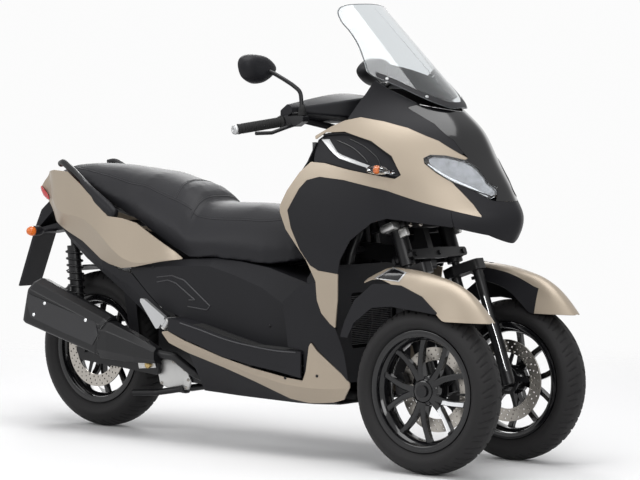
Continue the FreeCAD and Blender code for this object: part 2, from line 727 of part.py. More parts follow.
SKIRT = [
    (-244, 379), (-218, 383), (-137, 355), (27, 311), (157, 284), (300, 264), (372, 258), (386, 290),
    (402, 372), (410, 384), (432, 358), (480, 322), (523, 290), (553, 262), (553, 248), (523, 206),
    (480, 194), (432, 188), (386, 184), (372, 184), (300, 192), (157, 238), (27, 274), (-137, 314),
    (-218, 342), (-244, 374),
]


def skirts():
    """Lower side strips that run up into a point ahead of the foot boards, cut to their outline."""
    rows = []
    for x, top_y, top_z, mid_y, mid_z, low_y, low_z in (
            (-270, 252, 410, 246, 372, 238, 330), (-137, 260, 375, 248, 335, 228, 295),
            (27, 262, 335, 246, 293, 222, 250), (157, 263, 330, 246, 262, 216, 205),
            (300, 264, 400, 252, 240, 206, 160), (400, 263, 420, 251, 236, 208, 160),
            (480, 254, 420, 244, 238, 214, 165), (570, 243, 400, 235, 246, 224, 180)):
        rows.append((x, [(top_y, top_z), (mid_y, mid_z), (low_y, low_z)]))
    return pair(strip(rows, SKIN_T, True).common(side_plate(SKIRT, 150, 300, 3)))


def footboards():
    """Foot boards with their outer walls, from the tunnel's sides outwards."""
    wires = []
    for x, inner, z, low in ((-205, 198.3, 427, 384), (-128, 195.8, 418, 361), (26, 192.3, 384, 317),
                             (157, 190.1, 357, 295), (263, 187.4, 354, 283), (370, 184.3, 352, 267)):
        wires.append(outline([V(x, 262, low), V(x, 262, z), V(x, inner, z), V(x, inner, z - 8),
                              V(x, 256, z - 8), V(x, 256, low)]))
    return pair(Part.makeLoft(wires, True, True))


BIN_HALF = 126.0
SEAT_HINGE = (300.0, 627.0)


def tunnel():
    """The wide spine between the foot boards, open below, with sloping shoulders."""
    rings = []
    for x, half, top, low, run, fall in (
            (-440, 192, 590, 571, 6, 6), (-358, 195, 600, 501, 12, 12), (-289, 197, 612, 450, 18, 18),
            (-204, 198, 622, 427.3, 22, 22), (-83, 194, 631, 408, 26, 26), (26, 192, 624, 376, 32, 44),
            (144, 190, 608, 349, 38, 64), (222, 188, 586, 347, 42, 84), (306, 186, 563, 345, 46, 104)):
        outer = [V(x, half, low), V(x, half, top - fall), V(x, half - run, top), V(x, -half + run, top),
                 V(x, -half, top - fall), V(x, -half, low)]
        inner = [V(p.x, p.y - math.copysign(SKIN_T, p.y), p.z - (SKIN_T if p.z == top else 0))
                 for p in outer]
        rings.append(outer + list(reversed(inner)))
    opening = plan_plate([(-400, -BIN_HALF - 0.6), (122, -BIN_HALF - 0.6), (122, BIN_HALF + 0.6),
                          (-400, BIN_HALF + 0.6)], 560, 700)
    behind = plan_plate([(-460, -184), (-342, -184), (-342, 184), (-460, 184)], 480, 700)
    x, z = SEAT_HINGE
    lugs = [rod(V(x, -34, z), V(x, 34, z), PIN_R)]
    for side in (-1, 1):
        lugs.append(side_plate([(x - 14, 562), (x + 5, 562), (x + 8, z), (x + 4, z + 7), (x - 4, z + 7),
                                (x - 8, z)], side * 31.5 - 3, side * 31.5 + 3))
    return fused([ring_loft(rings, True).cut(opening).cut(behind)] + lugs)


SHIELD_ROWS = [
    (352.7, 436, 310), (440, 450, 310), (483, 462, 311), (524, 448, 313), (585, 447, 322), (628, 425, 362),
    (680, 392, 388), (747, 333, 398), (822, 308, 398), (873, 335, 386), (932, 382, 364), (966, 405, 350),
    (1026, 422, 332),
]


def skin_half(z):
    """Half the skin's width at a height, between the rows."""
    for (z0, w0, _), (z1, w1, _) in zip(SKIN_ROWS, SKIN_ROWS[1:]):
        if z0 <= z <= z1:
            return w0 + (w1 - w0) * (z - z0) / (z1 - z0)


def inner_shield():
    """The wall that faces the rider's knees, from rows of (height, x at the edges, x at the middle)."""
    wires = []
    for z, edge, middle in SHIELD_ROWS:
        half = skin_half(z) - SKIN_T - (10 * RUN if z < 500 else 2 * RUN)
        outer = []
        for share, depth in ((-1, 0), (-0.86, 0.3), (-0.7, 0.85), (-0.48, 1), (0, 1), (0.48, 1), (0.7, 0.85),
                             (0.86, 0.3), (1, 0)):
            outer.append(V(edge + (middle - edge) * depth, half * share, z))
        wires.append(band(outer, [p + V(SKIN_T, 0, 0) for p in outer]))
    opening = front_plate([(-150, 300), (150, 300), (150, 540), (-150, 540)], 200, 500, 20)
    return Part.makeLoft(wires, True, True).cut(opening).cut(rod(bar_point(980), bar_point(1090), 30))


LOWER_SHIELD = [
    (447, 585), (448, 524), (462, 483), (493, 450), (512, 436), (536, 356), (553, 264), (524, 292.5),
    (481, 324.5), (433, 360.5), (410.5, 387), (400.5, 373), (384.5, 291), (374, 262), (372, 355), (309, 364),
    (307, 512), (372, 560),
]


def lower_shields(shell):
    """The dark lower corners of the leg shield, beside the foot boards' front ends."""
    below = skirts()
    below.translate(V(0, 0, RUN))
    return pair(cut_panel(shell, LOWER_SHIELD, 10, REACH, 3).cut(below))


DASH = [
    (424, 1031), (470, 1064), (520, 1088), (586, 1204), (590, 1202), (524, 1084), (473, 1060), (427, 1027),
]


def dash(room):
    """The sloping panel from the shield's top to the foot of the screen."""
    pockets = side_plate(grown(VENT, 1), -REACH, REACH).cut(fairing_core(VENT_DEPTH + SKIN_T + RUN))
    return side_plate(DASH, -REACH, REACH).common(room).cut(pockets)


def front_stay(room):
    """Tubes from the head tube out to the fairing and the meter."""
    pieces = []
    for x, z, radius in ((566, 1084, 9), (700, 898, 9), (620, 846, 9)):
        pieces.append(rod(V(x, -REACH, z), V(x, REACH, z), radius).common(room))
    for side in (-1, 1):
        pieces.append(tube([V(456.3, side * 20, 880), V(490, side * 20, 880), V(620, side * 64, 846),
                            V(700, side * 64, 898), V(640, side * 64, 1010), V(566, side * 64, 1084)], 8, 30))
    return fused(pieces)


def screen_bracket():
    """Two arms from the meter's hood to the back of the screen."""
    outside = screen_sheet(-200, (200.4 + SCREEN_T * 1.45) / 1.45)
    arms = []
    for side in (-1, 1):
        arm = tube([V(569.8, side * 86, 1207.5), V(595, side * 86, 1223.8), V(680, side * 90, 1300)], 7, 12)
        arms.append(min(arm.cut(outside).Solids, key=lambda s: s.BoundBox.ZMin))
    return Part.Compound(arms)


def wheel_wall():
    """The dark wall between the front wheels with the radiator's opening."""
    wall = side_plate([(456, 632), (460, 632), (466, 480), (472, 250), (468, 250), (462, 480)], -196, 196)
    window = front_plate([(-120, 360), (120, 360), (120, 540), (-120, 540)], 300, 600, 12)
    return wall.cut(window)


def belly_pan():
    """The underside between the skirts, its sides turned up to their lower edges."""
    rings = []
    for x, half, low, edge_y, edge_z in ((-137, 150, 180, 232, 313), (27, 160, 176, 229, 273),
                                         (157, 176, 176, 223, 237), (300, 190, 176, 215, 192),
                                         (372, 190, 177, 212, 184), (470, 180, 182, 216, 193)):
        outer = [(edge_y, edge_z), (half, low), (-half, low), (-edge_y, edge_z)]
        inner = [(y - math.copysign(3, y), z + 4) for y, z in outer]
        rings.append([V(x, y, z) for y, z in outer + list(reversed(inner))])
    return ring_loft(rings, True)


# Frame, engine and running gear

STAND_PIVOT = (-300.0, 168.0)


def frame():
    """Welded tubular frame: spine box for the links, head tube, down tubes, floor tubes and seat rails."""
    pieces = [rod(bar_point(776), bar_point(900), 24), rod(V(446, -30, 880), V(446, 30, 880), 10),
              side_plate([(415, 868), (448, 870), (448, 890), (418, 892)], -12, 12)]
    pieces.append(side_plate([(412, 700), (412, 650), (560, 636), (650, 622), (712, 626), (690, 700),
                              (656, 792), (628, 792), (636, 712), (560, 694)], -14, 14, 8))
    tails, unders, lowers = tail_panels(), undertail(), skirts()
    for side in (-1, 1):
        pieces.append(tube([V(446, side * 8, 838), V(420, side * 70, 660), V(396, side * 105, 420),
                            V(350, side * 105, 250), V(-170, side * 105, 240), V(-330, side * 164, 560),
                            V(-560, side * 148, 712), V(-870, side * 78, 800)], 16, 60))
        pieces.append(rod(V(-850, side * 40, 803), V(-947.4, side * 40, 803), 6))
        pieces.append(tube([V(396, side * 105, 420), V(430, side * 140, 420), V(463.2, side * 140, 420)],
                           8, 16))
        pieces.append(seated(rod(V(-590, side * 141, 708), V(-590, side * 230, 708), 5), tails, side))
        pieces.append(seated(rod(V(-400, side * 159, 606), V(-400, side * 205, 450), 6), unders, side))
        pieces.append(seated(rod(V(200, side * 105, 250), V(200, side * 270, 250), 6), lowers, side))
        pieces.append(rod(V(100, side * 105, 240), V(100, side * 105, 180 + RUN), 9))
        pieces.append(tube([V(100, side * 105, 246), V(100, side * 160, 328), V(100, side * 255.7, 328)],
                           8, 20))
        pieces.append(side_plate([(20, 250), (42, 250), (10, 320), (-48.4, 345), (-54.7, 320), (-10, 300)],
                                 side * 45 - 5, side * 45 + 5))
        pieces.append(side_plate([(-252, 386), (-220, 386), (-220, 424), (-262, 424)],
                                 min(side * 130, side * 170), max(side * 130, side * 170)))
        pieces.append(tube([V(400, side * 100, 470), V(240, side * 122, 396), V(-160, side * 124, 396),
                            V(-262, side * 138, 420)], 14, 50))
        pieces.append(shock_lug(side, SHOCK_TOP, (-792, 782)))
    for x, half, z in ((350, 108, 250), (30, 108, 244), (-600, 140, 724), (-850, 84, 792), (425, 66, 675)):
        pieces.append(rod(V(x, -half, z), V(x, half, z), 12))
    pieces.append(side_plate([(-196, 250), (-150, 250), (-188, 148), (-222, 148)], 112, 124, 8))
    pieces.append(rod(V(-205, 120, 162), V(-205, 146, 162), 6))
    whole = fused(pieces)
    bore = rod(bar_point(756), bar_point(920), STEM_R + BEARING_GAP)
    whole = whole.cut(bore)
    for z in (LINK_LOW_Z, LINK_HIGH_Z):
        whole = whole.cut(rod(steer_point(0, z, -80), steer_point(0, z, 80), 8.05))
        for a, b in ((-SIDE_TUBE_R - 16.3, -SIDE_TUBE_R - 5.7), (SIDE_TUBE_R + 5.7, SIDE_TUBE_R + 16.3)):
            slot = Part.Face(outline([steer_point(-60, z, a, -20), steer_point(60, z, a, -20),
                                      steer_point(60, z, b, -20), steer_point(-60, z, b, -20)]))
            whole = whole.cut(slot.extrude(UP * 40))
    return whole


def engine():
    """Engine block with its cylinder ahead."""
    block = side_plate([(-408, 200), (-180, 190), (-120, 240), (-60, 300), (-40, 380), (-180, 400),
                        (-300, 470), (-408, 430)], -84, 84, 24)
    px, pz = STAND_PIVOT
    for side in (-1, 1):
        ear = side_plate([(px - 20, 230), (px - 18, pz - 16), (px + 18, pz - 16), (px + 20, 230)],
                         side * 66 - 6, side * 66 + 6, 10)
        block = block.fuse(ear)
    return block.cut(rod(V(px, -200, pz), V(px, 200, pz), 12 + BEARING_GAP)).removeSplitter()


SHOCK_TOP = (-800.0, 108.0, 690.0)
SHOCK_FOOT = (-765.0, 108.0, 374.0)
SHOCK_EYE = 14.0
SHOCK_HALF = 12.0
SHOCK_PIN = 6.0


def shock_lug(side, point, into):
    """A plate beside one of the shock's eyes, with the pin that carries the eye."""
    x, y, z = point
    inner, outer = y - SHOCK_HALF - 9, y - SHOCK_HALF - RUN
    lug = side_plate([(x - 14, z - 10), (x - 14, z + 10), (x + 14, z + 10), (x + 14, z - 10)],
                     inner, outer, 8)
    neck = side_plate([(x - 14, z), (x + 14, z), (into[0] + 16, into[1]), (into[0] - 16, into[1])],
                      inner, outer)
    pin = rod(V(x, inner, z), V(x, y + SHOCK_HALF + 4, z), SHOCK_PIN)
    whole = fused([lug, neck, pin])
    return whole if side > 0 else mirrored(whole)


def swing_arm():
    """Rear drive case on the left, plain arm on the right, with the rear axle and its caliper."""
    axle = V(REAR_AXLE_X, 0, TYRE_REAR_R)
    case = side_plate([(-392, 250), (-392, 400), (-520, 396), (REAR_AXLE_X - 40, 340),
                       (REAR_AXLE_X - 66, 276), (REAR_AXLE_X - 40, 214), (-560, 216)], 84 + RUN, 158, 34)
    arm = side_plate([(-384, 210), (-384, 262), (-560, 290), (REAR_AXLE_X - 20, 312),
                      (REAR_AXLE_X - 46, 276), (REAR_AXLE_X - 20, 240), (-560, 226)], -112, -84 - RUN, 16)
    pin = rod(V(axle.x, -122, axle.z), V(axle.x, 96, axle.z), AXLE_R)
    boss = rod(V(axle.x, -112, axle.z), V(axle.x, -HUB_REAR_HALF - 0.5, axle.z), 20)
    boss_left = rod(V(axle.x, HUB_REAR_HALF + 0.5, axle.z), V(axle.x, 90, axle.z), 26)
    lugs = [shock_lug(1, SHOCK_FOOT, (-765, 310)), shock_lug(-1, SHOCK_FOOT, (-750, 290))]
    return fused([case, arm, pin, boss, boss_left] + lugs)


def rear_shocks():
    top = V(*SHOCK_TOP)
    foot = V(*SHOCK_FOOT)
    axis = (foot - top) / (foot - top).Length
    shock = fused([rod(top + axis * 8, foot - axis * 8, 9), rod(top + axis * 48, top + axis * 250, 23),
                   rod(top - LEFT * SHOCK_HALF, top + LEFT * SHOCK_HALF, SHOCK_EYE),
                   rod(foot - LEFT * SHOCK_HALF, foot + LEFT * SHOCK_HALF, SHOCK_EYE)])
    for end in (top, foot):
        shock = shock.cut(rod(end - LEFT * 40, end + LEFT * 40, SHOCK_PIN + BEARING_GAP))
    return pair(shock)


MUFFLER_AXIS = V(0.959, 0, -0.285)
MUFFLER_REAR = V(-884, -210, 437)
MUFFLER_FACE = [
    (-52, 58), (-30, 84), (4, 98), (40, 92), (52, 60), (52, -40), (30, -72), (-6, -78), (-42, -66),
]
MUFFLER_COVER = [(-1, -0.5), (-1, 0.55), (-0.45, 1), (0.5, 1), (1, 0.6), (1, -0.5), (0.4, -1), (-0.6, -1)]


def muffler_ring(along, scale, radius):
    """The drum's cross section at a distance along its axis."""
    rise = V(-MUFFLER_AXIS.z, 0, MUFFLER_AXIS.x)
    centre = MUFFLER_REAR + MUFFLER_AXIS * along
    corners = [centre + LEFT * (y * scale) + rise * (up * scale) for y, up in MUFFLER_FACE]
    return outline(corners, radius * scale)


def muffler():
    """Silencer on the right: an angular drum with a flat outer face, its front cover and inlet pipe."""
    drum = Part.makeLoft([muffler_ring(along, scale, 12) for along, scale in (
        (-16, 0.62), (0, 0.96), (10, 1.0), (352, 0.84), (366, 0.76))], True, True)
    wires = []
    for x, middle, wide, high in ((-540, 332, 42, 64), (-500, 330, 42, 64), (-380, 308, 34, 46),
                                  (-292, 292, 24, 26)):
        corners = [V(x, y * wide - 212, middle + z * high) for y, z in MUFFLER_COVER]
        wires.append(outline(corners, 0.25 * wide))
    cover = Part.makeLoft(wires, True, True)
    pipe = tube([V(-312, -208, 300), V(-240, -192, 292), V(-170, -170, 240), V(-118, -110, 201),
                 V(-34, -66, 203), V(-52, -50, 232), V(-89.6, -50, 269.6)], 15, 26)
    return drum.fuse([cover, pipe]).removeSplitter()


def plate_holder():
    """The long holder behind the wheel, on its stay under the frame's rear bridge."""
    holder = side_plate([(-960, 800), (-1010, 760), (-1043, 691), (-1125, 480), (-1117, 478), (-1030, 690),
                         (-950, 760)], -52, 52, 2)
    stay = side_plate([(-840, 735), (-1030, 690), (-1040, 670), (-850, 700)], -60, 60, 6)
    tabs = [side_plate([(-866, 779.7), (-834, 779.7), (-834, 700), (-866, 700)], y - 7, y + 7)
            for y in (-40, 40)]
    return fused([holder, stay] + tabs)


def rear_hugger():
    """The inner mudguard over the rear tyre, on side stays."""
    inner, outer = TYRE_REAR_R + 20, TYRE_REAR_R + 24
    ring = turned([(inner, -84), (outer, -84), (outer, 84), (inner, 84)],
                  V(REAR_AXLE_X, 0, TYRE_REAR_R), LEFT)
    sector = side_plate([(REAR_AXLE_X, TYRE_REAR_R), (REAR_AXLE_X - 190, 700), (REAR_AXLE_X + 330, 560)],
                        -90, 90)
    left = side_plate([(-582.5, 534.9), (-550, 513.2), (-520.6, 487.4), (-476, 400), (-476, 385),
                       (-530, 385)], 80, 84, 4)
    right = side_plate([(-582.5, 534.9), (-550, 513.2), (-520.6, 487.4), (-486, 256), (-526, 256)],
                       -84, -80, 4)
    return fused([ring.common(sector), left, right])


def undertail():
    rows = []
    for x, top_y, top_z, low_y, low_z in (
            (-852, 125, 724, 120, 716), (-787, 142, 698, 133, 664), (-690, 160, 660, 149, 604),
            (-593, 178, 606, 162, 553), (-500, 188, 574, 170, 502), (-440, 193, 566, 176, 466),
            (-358, 196, 498, 180, 414), (-289, 198, 447, 184, 388), (-258, 199, 431, 186, 380)):
        rows.append((x, [(top_y, top_z), ((top_y + low_y) / 2 + 4, (top_z + low_z) / 2), (low_y, low_z)]))
    return pair(strip(rows, SKIN_T, True))


def grab_rails():
    rail = tube([V(-846, 120.4, 930), V(-822, 132.4, 936), V(-760, 145.4, 905), V(-686, 161.4, 862),
                 V(-600, 176.4, 812), V(-520, 186.4, 768)], 12, 30)
    tails = tail_panels()
    feet = [seated(rod(V(-700, 158, 866), V(-700, 210, 806), 7), tails, 1),
            seated(rod(V(-560, 181, 786), V(-560, 226, 716), 7), tails, 1)]
    return pair(fused([rail] + feet))


def tail_lamp():
    lens = []
    for y, x in ((-79, -958), (-60, -970), (0, -978), (60, -970), (79, -958)):
        lens.append(outline([V(x, y, 800), V(x + 26, y, 800), V(x + 26, y, 866), V(x - 4, y, 866)]))
    return Part.makeLoft(lens, True, False)


SEAT_ROWS = [
    (300, 44, 640, 60), (262, 96, 639, 93), (222, 128, 634, 140), (180, 142, 625, 175), (120, 158, 619, 187),
    (20, 172, 626.6, 189.4), (-83, 184, 632.6, 181.4), (-183, 186, 629, 187), (-260, 188, 661, 195),
    (-343, 190, 700, 186), (-422, 186, 742, 170), (-515, 162, 770, 150), (-620, 149, 806, 124),
    (-747, 124, 856, 78), (-845, 102, 884, 44), (-896, 74, 896, 12),
]


def seat_cushion():
    """Two-level seat as one closed pad: (x, half width, underside height, thickness at the middle)."""
    wires = []
    for x, half, low, thick in SEAT_ROWS:
        top = low + thick
        belly, shoulder = low + thick * 0.35, top - thick * 0.12
        points = [V(x, -half, low), V(x, -half * 1.02, belly), V(x, -half * 0.84, shoulder),
                  V(x, -half * 0.4, top), V(x, half * 0.4, top), V(x, half * 0.84, shoulder),
                  V(x, half * 1.02, belly), V(x, half, low)]
        wires.append(Part.Wire([bent_line(points), Part.LineSegment(points[-1], points[0]).toShape()]))
    return Part.makeLoft(wires, True, False)


def seat_pan():
    """The seat's front tongue with its hinge barrel."""
    x, z = SEAT_HINGE
    tongue = side_plate([(x, z + 4), (262, 638.4), (222, 633.2), (182, 623), (150, 617.4), (120, 616.6),
                         (120, 612.4), (150, 613), (182, 619),
                         (222, 627), (262, 631), (x, z - 4)], -28, 28)
    barrel = rod(V(x, -28, z), V(x, 28, z), 9)
    return tongue.fuse(barrel).cut(rod(V(x, -40, z), V(x, 40, z), PIN_R + BEARING_GAP)).removeSplitter()


def storage_bin():
    """Hollow tub under the seat."""
    outer = side_plate([(-480, 730), (-440, 500), (-130, 440), (110, 450), (120, 610), (-180, 620)],
                       -BIN_HALF, BIN_HALF, 30)
    inner = side_plate([(-474, 760), (-434, 506), (-130, 446), (104, 456), (114, 640), (-180, 690)],
                       -BIN_HALF + 4, BIN_HALF - 4, 26)
    return outer.cut(inner)


# Stands and pegs

def centre_stand():
    """Folded centre stand under the engine."""
    px, pz = STAND_PIVOT
    pieces = [rod(V(px, -94, pz), V(px, 94, pz), 12)]
    for side in (-1, 1):
        pieces.append(tube([V(px, side * 84, pz), V(px - 110, side * 94, pz - 20),
                            V(px - 190, side * 124, pz - 24)], 11, 30))
    pieces.append(rod(V(px - 108, -92, pz - 20), V(px - 108, 92, pz - 20), 9))
    return fused(pieces)


def side_stand():
    """Folded side stand on the left."""
    px, py, pz = -205, 136, 162
    leg = tube([V(px - 6, py, pz - 2), V(px - 90, py + 14, pz - 8), V(px - 220, py + 44, pz - 10)], 9, 40)
    foot = side_plate([(px - 240, 138), (px - 206, 138), (px - 206, 156), (px - 240, 164)],
                      py + 30, py + 58, 4)
    eye = rod(V(px, py - 10, pz), V(px, py + 6, pz), 14)
    return fused([leg, foot, eye]).cut(rod(V(px, py - 30, pz), V(px, py + 30, pz), 6 + BEARING_GAP))


PEG_HINGE = V(-236, 236, 405)
PEG_RUN = V(-0.81, 0, 0.586)
PEG_ACROSS = V(0.586, 0, 0.81)


def pillion_peg():
    """A flat aluminium peg, folded back and up along the body."""
    corners = []
    for along, wide in ((4, -18), (20, -38), (130, -10), (138, 0), (122, 9), (4, 20)):
        corners.append(PEG_HINGE + PEG_RUN * along + PEG_ACROSS * wide - LEFT * 4)
    blade = Part.Face(outline(corners, 8)).extrude(LEFT * 14)
    eye = rod(PEG_HINGE - PEG_ACROSS * 12, PEG_HINGE + PEG_ACROSS * 12, 10)
    hole = rod(PEG_HINGE - PEG_ACROSS * 60, PEG_HINGE + PEG_ACROSS * 60, 4 + BEARING_GAP)
    clear = Part.Compound([rod(PEG_HINGE + PEG_ACROSS * a, PEG_HINGE + PEG_ACROSS * b, 16)
                           for a, b in ((-40, -12), (12, 40))])
    return fused([blade, eye]).cut(clear).cut(hole)


def peg_brackets():
    """Cast brackets with the pegs' pins, carried by the frame."""
    pieces = [rod(PEG_HINGE - PEG_ACROSS * 20, PEG_HINGE + PEG_ACROSS * 20, 4)]
    for start, end in ((-20, -13), (13, 20)):
        pieces.append(rod(PEG_HINGE + PEG_ACROSS * start, PEG_HINGE + PEG_ACROSS * end, 10))
        low = PEG_HINGE + PEG_ACROSS * start
        web = Part.Face(outline([low + PEG_RUN * 9, low - PEG_RUN * 9, low - PEG_RUN * 9 - LEFT * 56,
                                 low + PEG_RUN * 9 - LEFT * 56]))
        pieces.append(web.extrude(PEG_ACROSS * (end - start)))
    base = PEG_HINGE - PEG_ACROSS * 20 - LEFT * (66 - RUN)
    foot = Part.Face(outline([base - PEG_RUN * 9, base + PEG_RUN * 9, base + PEG_RUN * 9 + PEG_ACROSS * 40,
                              base - PEG_RUN * 9 + PEG_ACROSS * 40]))
    pieces.append(foot.extrude(LEFT * 12))
    return pair(fused(pieces))


def lamp_body(rows):
    """A teardrop lamp through oval rings, each (y, x, z, half length, half height)."""
    wires = []
    for y, x, z, long, high in rows:
        ring = []
        for k in range(12):
            a = math.radians(k * 30)
            stretch = 1.25 if math.cos(a) < 0 else 0.85
            ring.append(V(x + long * math.cos(a) * stretch, y, z + high * math.sin(a)))
        curve = Part.BSplineCurve()
        curve.interpolate(ring, True)
        wires.append(Part.Wire(curve.toShape()))
    return Part.makeLoft(wires, True, False)


def indicators():
    """Teardrop lamps that stand out from the vents, and two on stems beside the plate holder's stay."""
    front = lamp_body(((222, 688, 938, 30, 8), (262, 694, 942, 34, 10), (292, 700, 946, 36, 15),
                       (312, 704, 948, 28, 13), (322, 706, 949, 12, 6))).cut(fairing_core(VENT_DEPTH - RUN))
    rear = turned([(0, 0), (7, 0), (14, 18), (18, 42), (16, 62), (8, 74), (0, 77)], V(-928, 128, 690), LEFT)
    stem = rod(V(-926, 60 + RUN, 694), V(-926, 150, 690), 6)
    return Part.Compound([front, mirrored(front), rear.fuse(stem), mirrored(rear.fuse(stem))])


def meter():
    """Instrument housing standing on the dash."""
    return side_plate([(536.7, 1118), (579.1, 1192.6), (560, 1222), (534, 1216), (516, 1120)], -104, 104, 8)


def front_fender_top():
    """Left beige fender: a wide crowned band lofted along the wheel."""
    wires = []
    for x, z, half in ((1102, 486, 54), (1081, 520, 57), (1016, 574, 60), (921, 618, 61.5), (820, 642, 61.5),
                       (740, 640, 61), (660, 606, 58)):
        outer = [V(x, WHEEL_Y - half, z - 30), V(x, WHEEL_Y - half * 0.6, z - 6), V(x, WHEEL_Y, z),
                 V(x, WHEEL_Y + half * 0.6, z - 14), V(x, WHEEL_Y + half, z - 60)]
        if x == 1102:
            outer = [V(x, p.y, z - (p.y - WHEEL_Y) ** 2 * 0.0006) for p in outer]
        inner = [p - V(0, 0, 4) for p in outer]
        wires.append(band(outer, inner))
    return Part.makeLoft(wires, True, False)


def front_fender_skirt():
    """Left black skirt behind and beside the fender's band."""
    return side_plate([(690, 590), (740, 592), (800, 590), (880, 560), (946, 506), (879, 512), (762, 522),
                       (686, 514), (617, 464), (593, 420), (591, 415), (562, 415), (566, 429), (581, 470),
                       (617, 534)], WHEEL_Y + 62, WHEEL_Y + 66, 4)


def build():
    shell = fairing(0, SKIN_T)
    deep = fairing(VENT_DEPTH, SKIN_T)
    room = fairing_core(SKIN_T + RUN)
    nodes = {
        "side_panels": side_panels(shell),
        "side_cowls": side_cowls(shell),
        "beak": beak(shell),
        "nose_panel": nose_panel(shell),
        "upper_cowl": upper_cowl(shell),
        "vent_insets": vent_insets(deep),
        "headlamp_lenses": lamp_lenses(shell),
        "windscreen": windscreen(),
        "handlebar": handlebar(),
        "grips": grips(),
        "bar_cover": bar_cover(),
        "mirrors": mirror_stalks(),
        "mirror_glasses": mirror_glasses(),
        "steering_link": steering_link(),
        "lean_links": lean_links(),
        "side_tubes": side_tubes(),
        "frame": frame(),
        "engine": engine(),
        "swing_arm": swing_arm(),
        "rear_shocks": rear_shocks(),
        "muffler": muffler(),
        "tail_panels": tail_panels(),
        "undertail": undertail(),
        "skirts": skirts(),
        "footboards": footboards(),
        "tunnel": tunnel(),
        "inner_shield": Part.Compound([inner_shield(), dash(room)]),
        "lower_shields": lower_shields(shell),
        "front_stay": fused([front_stay(room), screen_bracket()]),
        "wheel_wall": wheel_wall(),
        "belly_pan": belly_pan(),
        "grab_rails": grab_rails(),
        "tail_lamp": tail_lamp(),
        "seat_cushion": seat_cushion(),
        "seat_pan": seat_pan(),
        "storage_bin": storage_bin(),
        "centre_stand": centre_stand(),
        "side_stand": side_stand(),
        "indicators": indicators(),
        "peg_brackets": peg_brackets(),
        "meter": meter(),
    }
    nodes["plate_holder"] = plate_holder()
    nodes["rear_hugger"] = rear_hugger()
    fork = front_fork()
    fender = front_fender_top()
    skirt = front_fender_skirt()
    peg = pillion_peg()
    front = front_wheel()
    for side, shape_of in (("left", lambda s: s), ("right", mirrored)):
        nodes["fork_" + side] = shape_of(fork)
        nodes["fender_" + side] = shape_of(fender)
        nodes["fender_skirt_" + side] = shape_of(skirt)
        nodes["peg_" + side] = shape_of(peg)
        for name, piece in zip(("tyre", "rim", "disc"), front):
            nodes[name + "_front_" + side] = shape_of(piece)
    for name, piece in zip(("tyre", "rim", "disc"), rear_wheel()):
        nodes[name + "_rear"] = piece
    return nodes


os.makedirs("parts", exist_ok=True)
for node, shape in build().items():
    shape.exportStep("parts/" + node + ".step")
    print(node, len(shape.Solids), round(shape.Volume / 1e6, 3), shape.isValid())
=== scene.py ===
from math import copysign, cos, pi, radians, sin

import bmesh
import bpy
from mathutils import Matrix, Vector
from mathutils.bvhtree import BVHTree
from mathutils.geometry import delaunay_2d_cdt


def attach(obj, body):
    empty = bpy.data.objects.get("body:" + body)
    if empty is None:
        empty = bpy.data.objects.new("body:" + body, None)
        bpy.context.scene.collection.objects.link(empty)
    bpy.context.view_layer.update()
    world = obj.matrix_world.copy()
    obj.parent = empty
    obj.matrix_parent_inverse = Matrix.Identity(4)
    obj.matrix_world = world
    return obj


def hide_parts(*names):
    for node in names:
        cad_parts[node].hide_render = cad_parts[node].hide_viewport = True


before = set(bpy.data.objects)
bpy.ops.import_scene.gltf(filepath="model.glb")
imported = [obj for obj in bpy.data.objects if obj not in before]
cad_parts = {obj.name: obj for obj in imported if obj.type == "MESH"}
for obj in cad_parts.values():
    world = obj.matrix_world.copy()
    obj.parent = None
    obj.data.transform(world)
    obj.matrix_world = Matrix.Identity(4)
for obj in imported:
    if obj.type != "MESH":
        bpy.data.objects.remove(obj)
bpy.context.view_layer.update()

# Studio: the camera stands ahead of the scooter on its right, low, with a long lens. The floor fades
# into a plain white surround, and soft boxes light the vehicle from above, ahead, beside and behind.
def wired(tree, parts, wires):
    """Adds nodes, given as {name: type or (type, settings)}, and joins them by 'node.socket > node.socket'.
    A type in capitals is the operation of a Math node."""
    made = {node.name: node for node in tree.nodes}
    for key, kind in parts.items():
        kind, settings = kind if isinstance(kind, tuple) else (kind, {})
        node = made[key] = tree.nodes.new("ShaderNodeMath" if kind.isupper() else kind)
        if kind.isupper():
            node.operation = kind
        for label, value in settings.items():
            if isinstance(label, str) and hasattr(node, label):
                setattr(node, label, value)
            else:
                node.inputs[label].default_value = value
    for wire in wires.split(","):
        (start, out), (end, into) = (half.strip().split(".") for half in wire.split(">"))
        tree.links.new(made[start].outputs[int(out) if out.isdigit() else out],
            made[end].inputs[int(into) if into.isdigit() else into])


def added(name, data):
    """A new object of the scene."""
    thing = bpy.data.objects.new(name, data)
    bpy.context.scene.collection.objects.link(thing)
    return thing


turn, tilt, roll = radians(38.759), radians(2.982), radians(0.563)
back = Vector((sin(turn) * cos(tilt), -cos(turn) * cos(tilt), sin(tilt)))
right = Vector((cos(turn), sin(turn), 0))
upward = back.cross(right)
aim = right * 0.183625 + upward * 0.090709 + Vector((0, 0, 0.6))
distance = 8.952047
eye = aim + back * distance
level = right * cos(roll) + upward * sin(roll)
plumb = upward * cos(roll) - right * sin(roll)
camera = added("camera", bpy.data.cameras.new("camera"))
sensor_mm, focal_pixels, picture_pixels = 36, 2648.25, 640
camera.data.lens = sensor_mm * focal_pixels / picture_pixels
camera.data.clip_end = 60
camera.matrix_world = Matrix.Translation(eye) @ Matrix((level, plumb, back)).transposed().to_4x4()
scene = bpy.context.scene
scene.camera = camera
scene.view_settings.view_transform = "Standard"

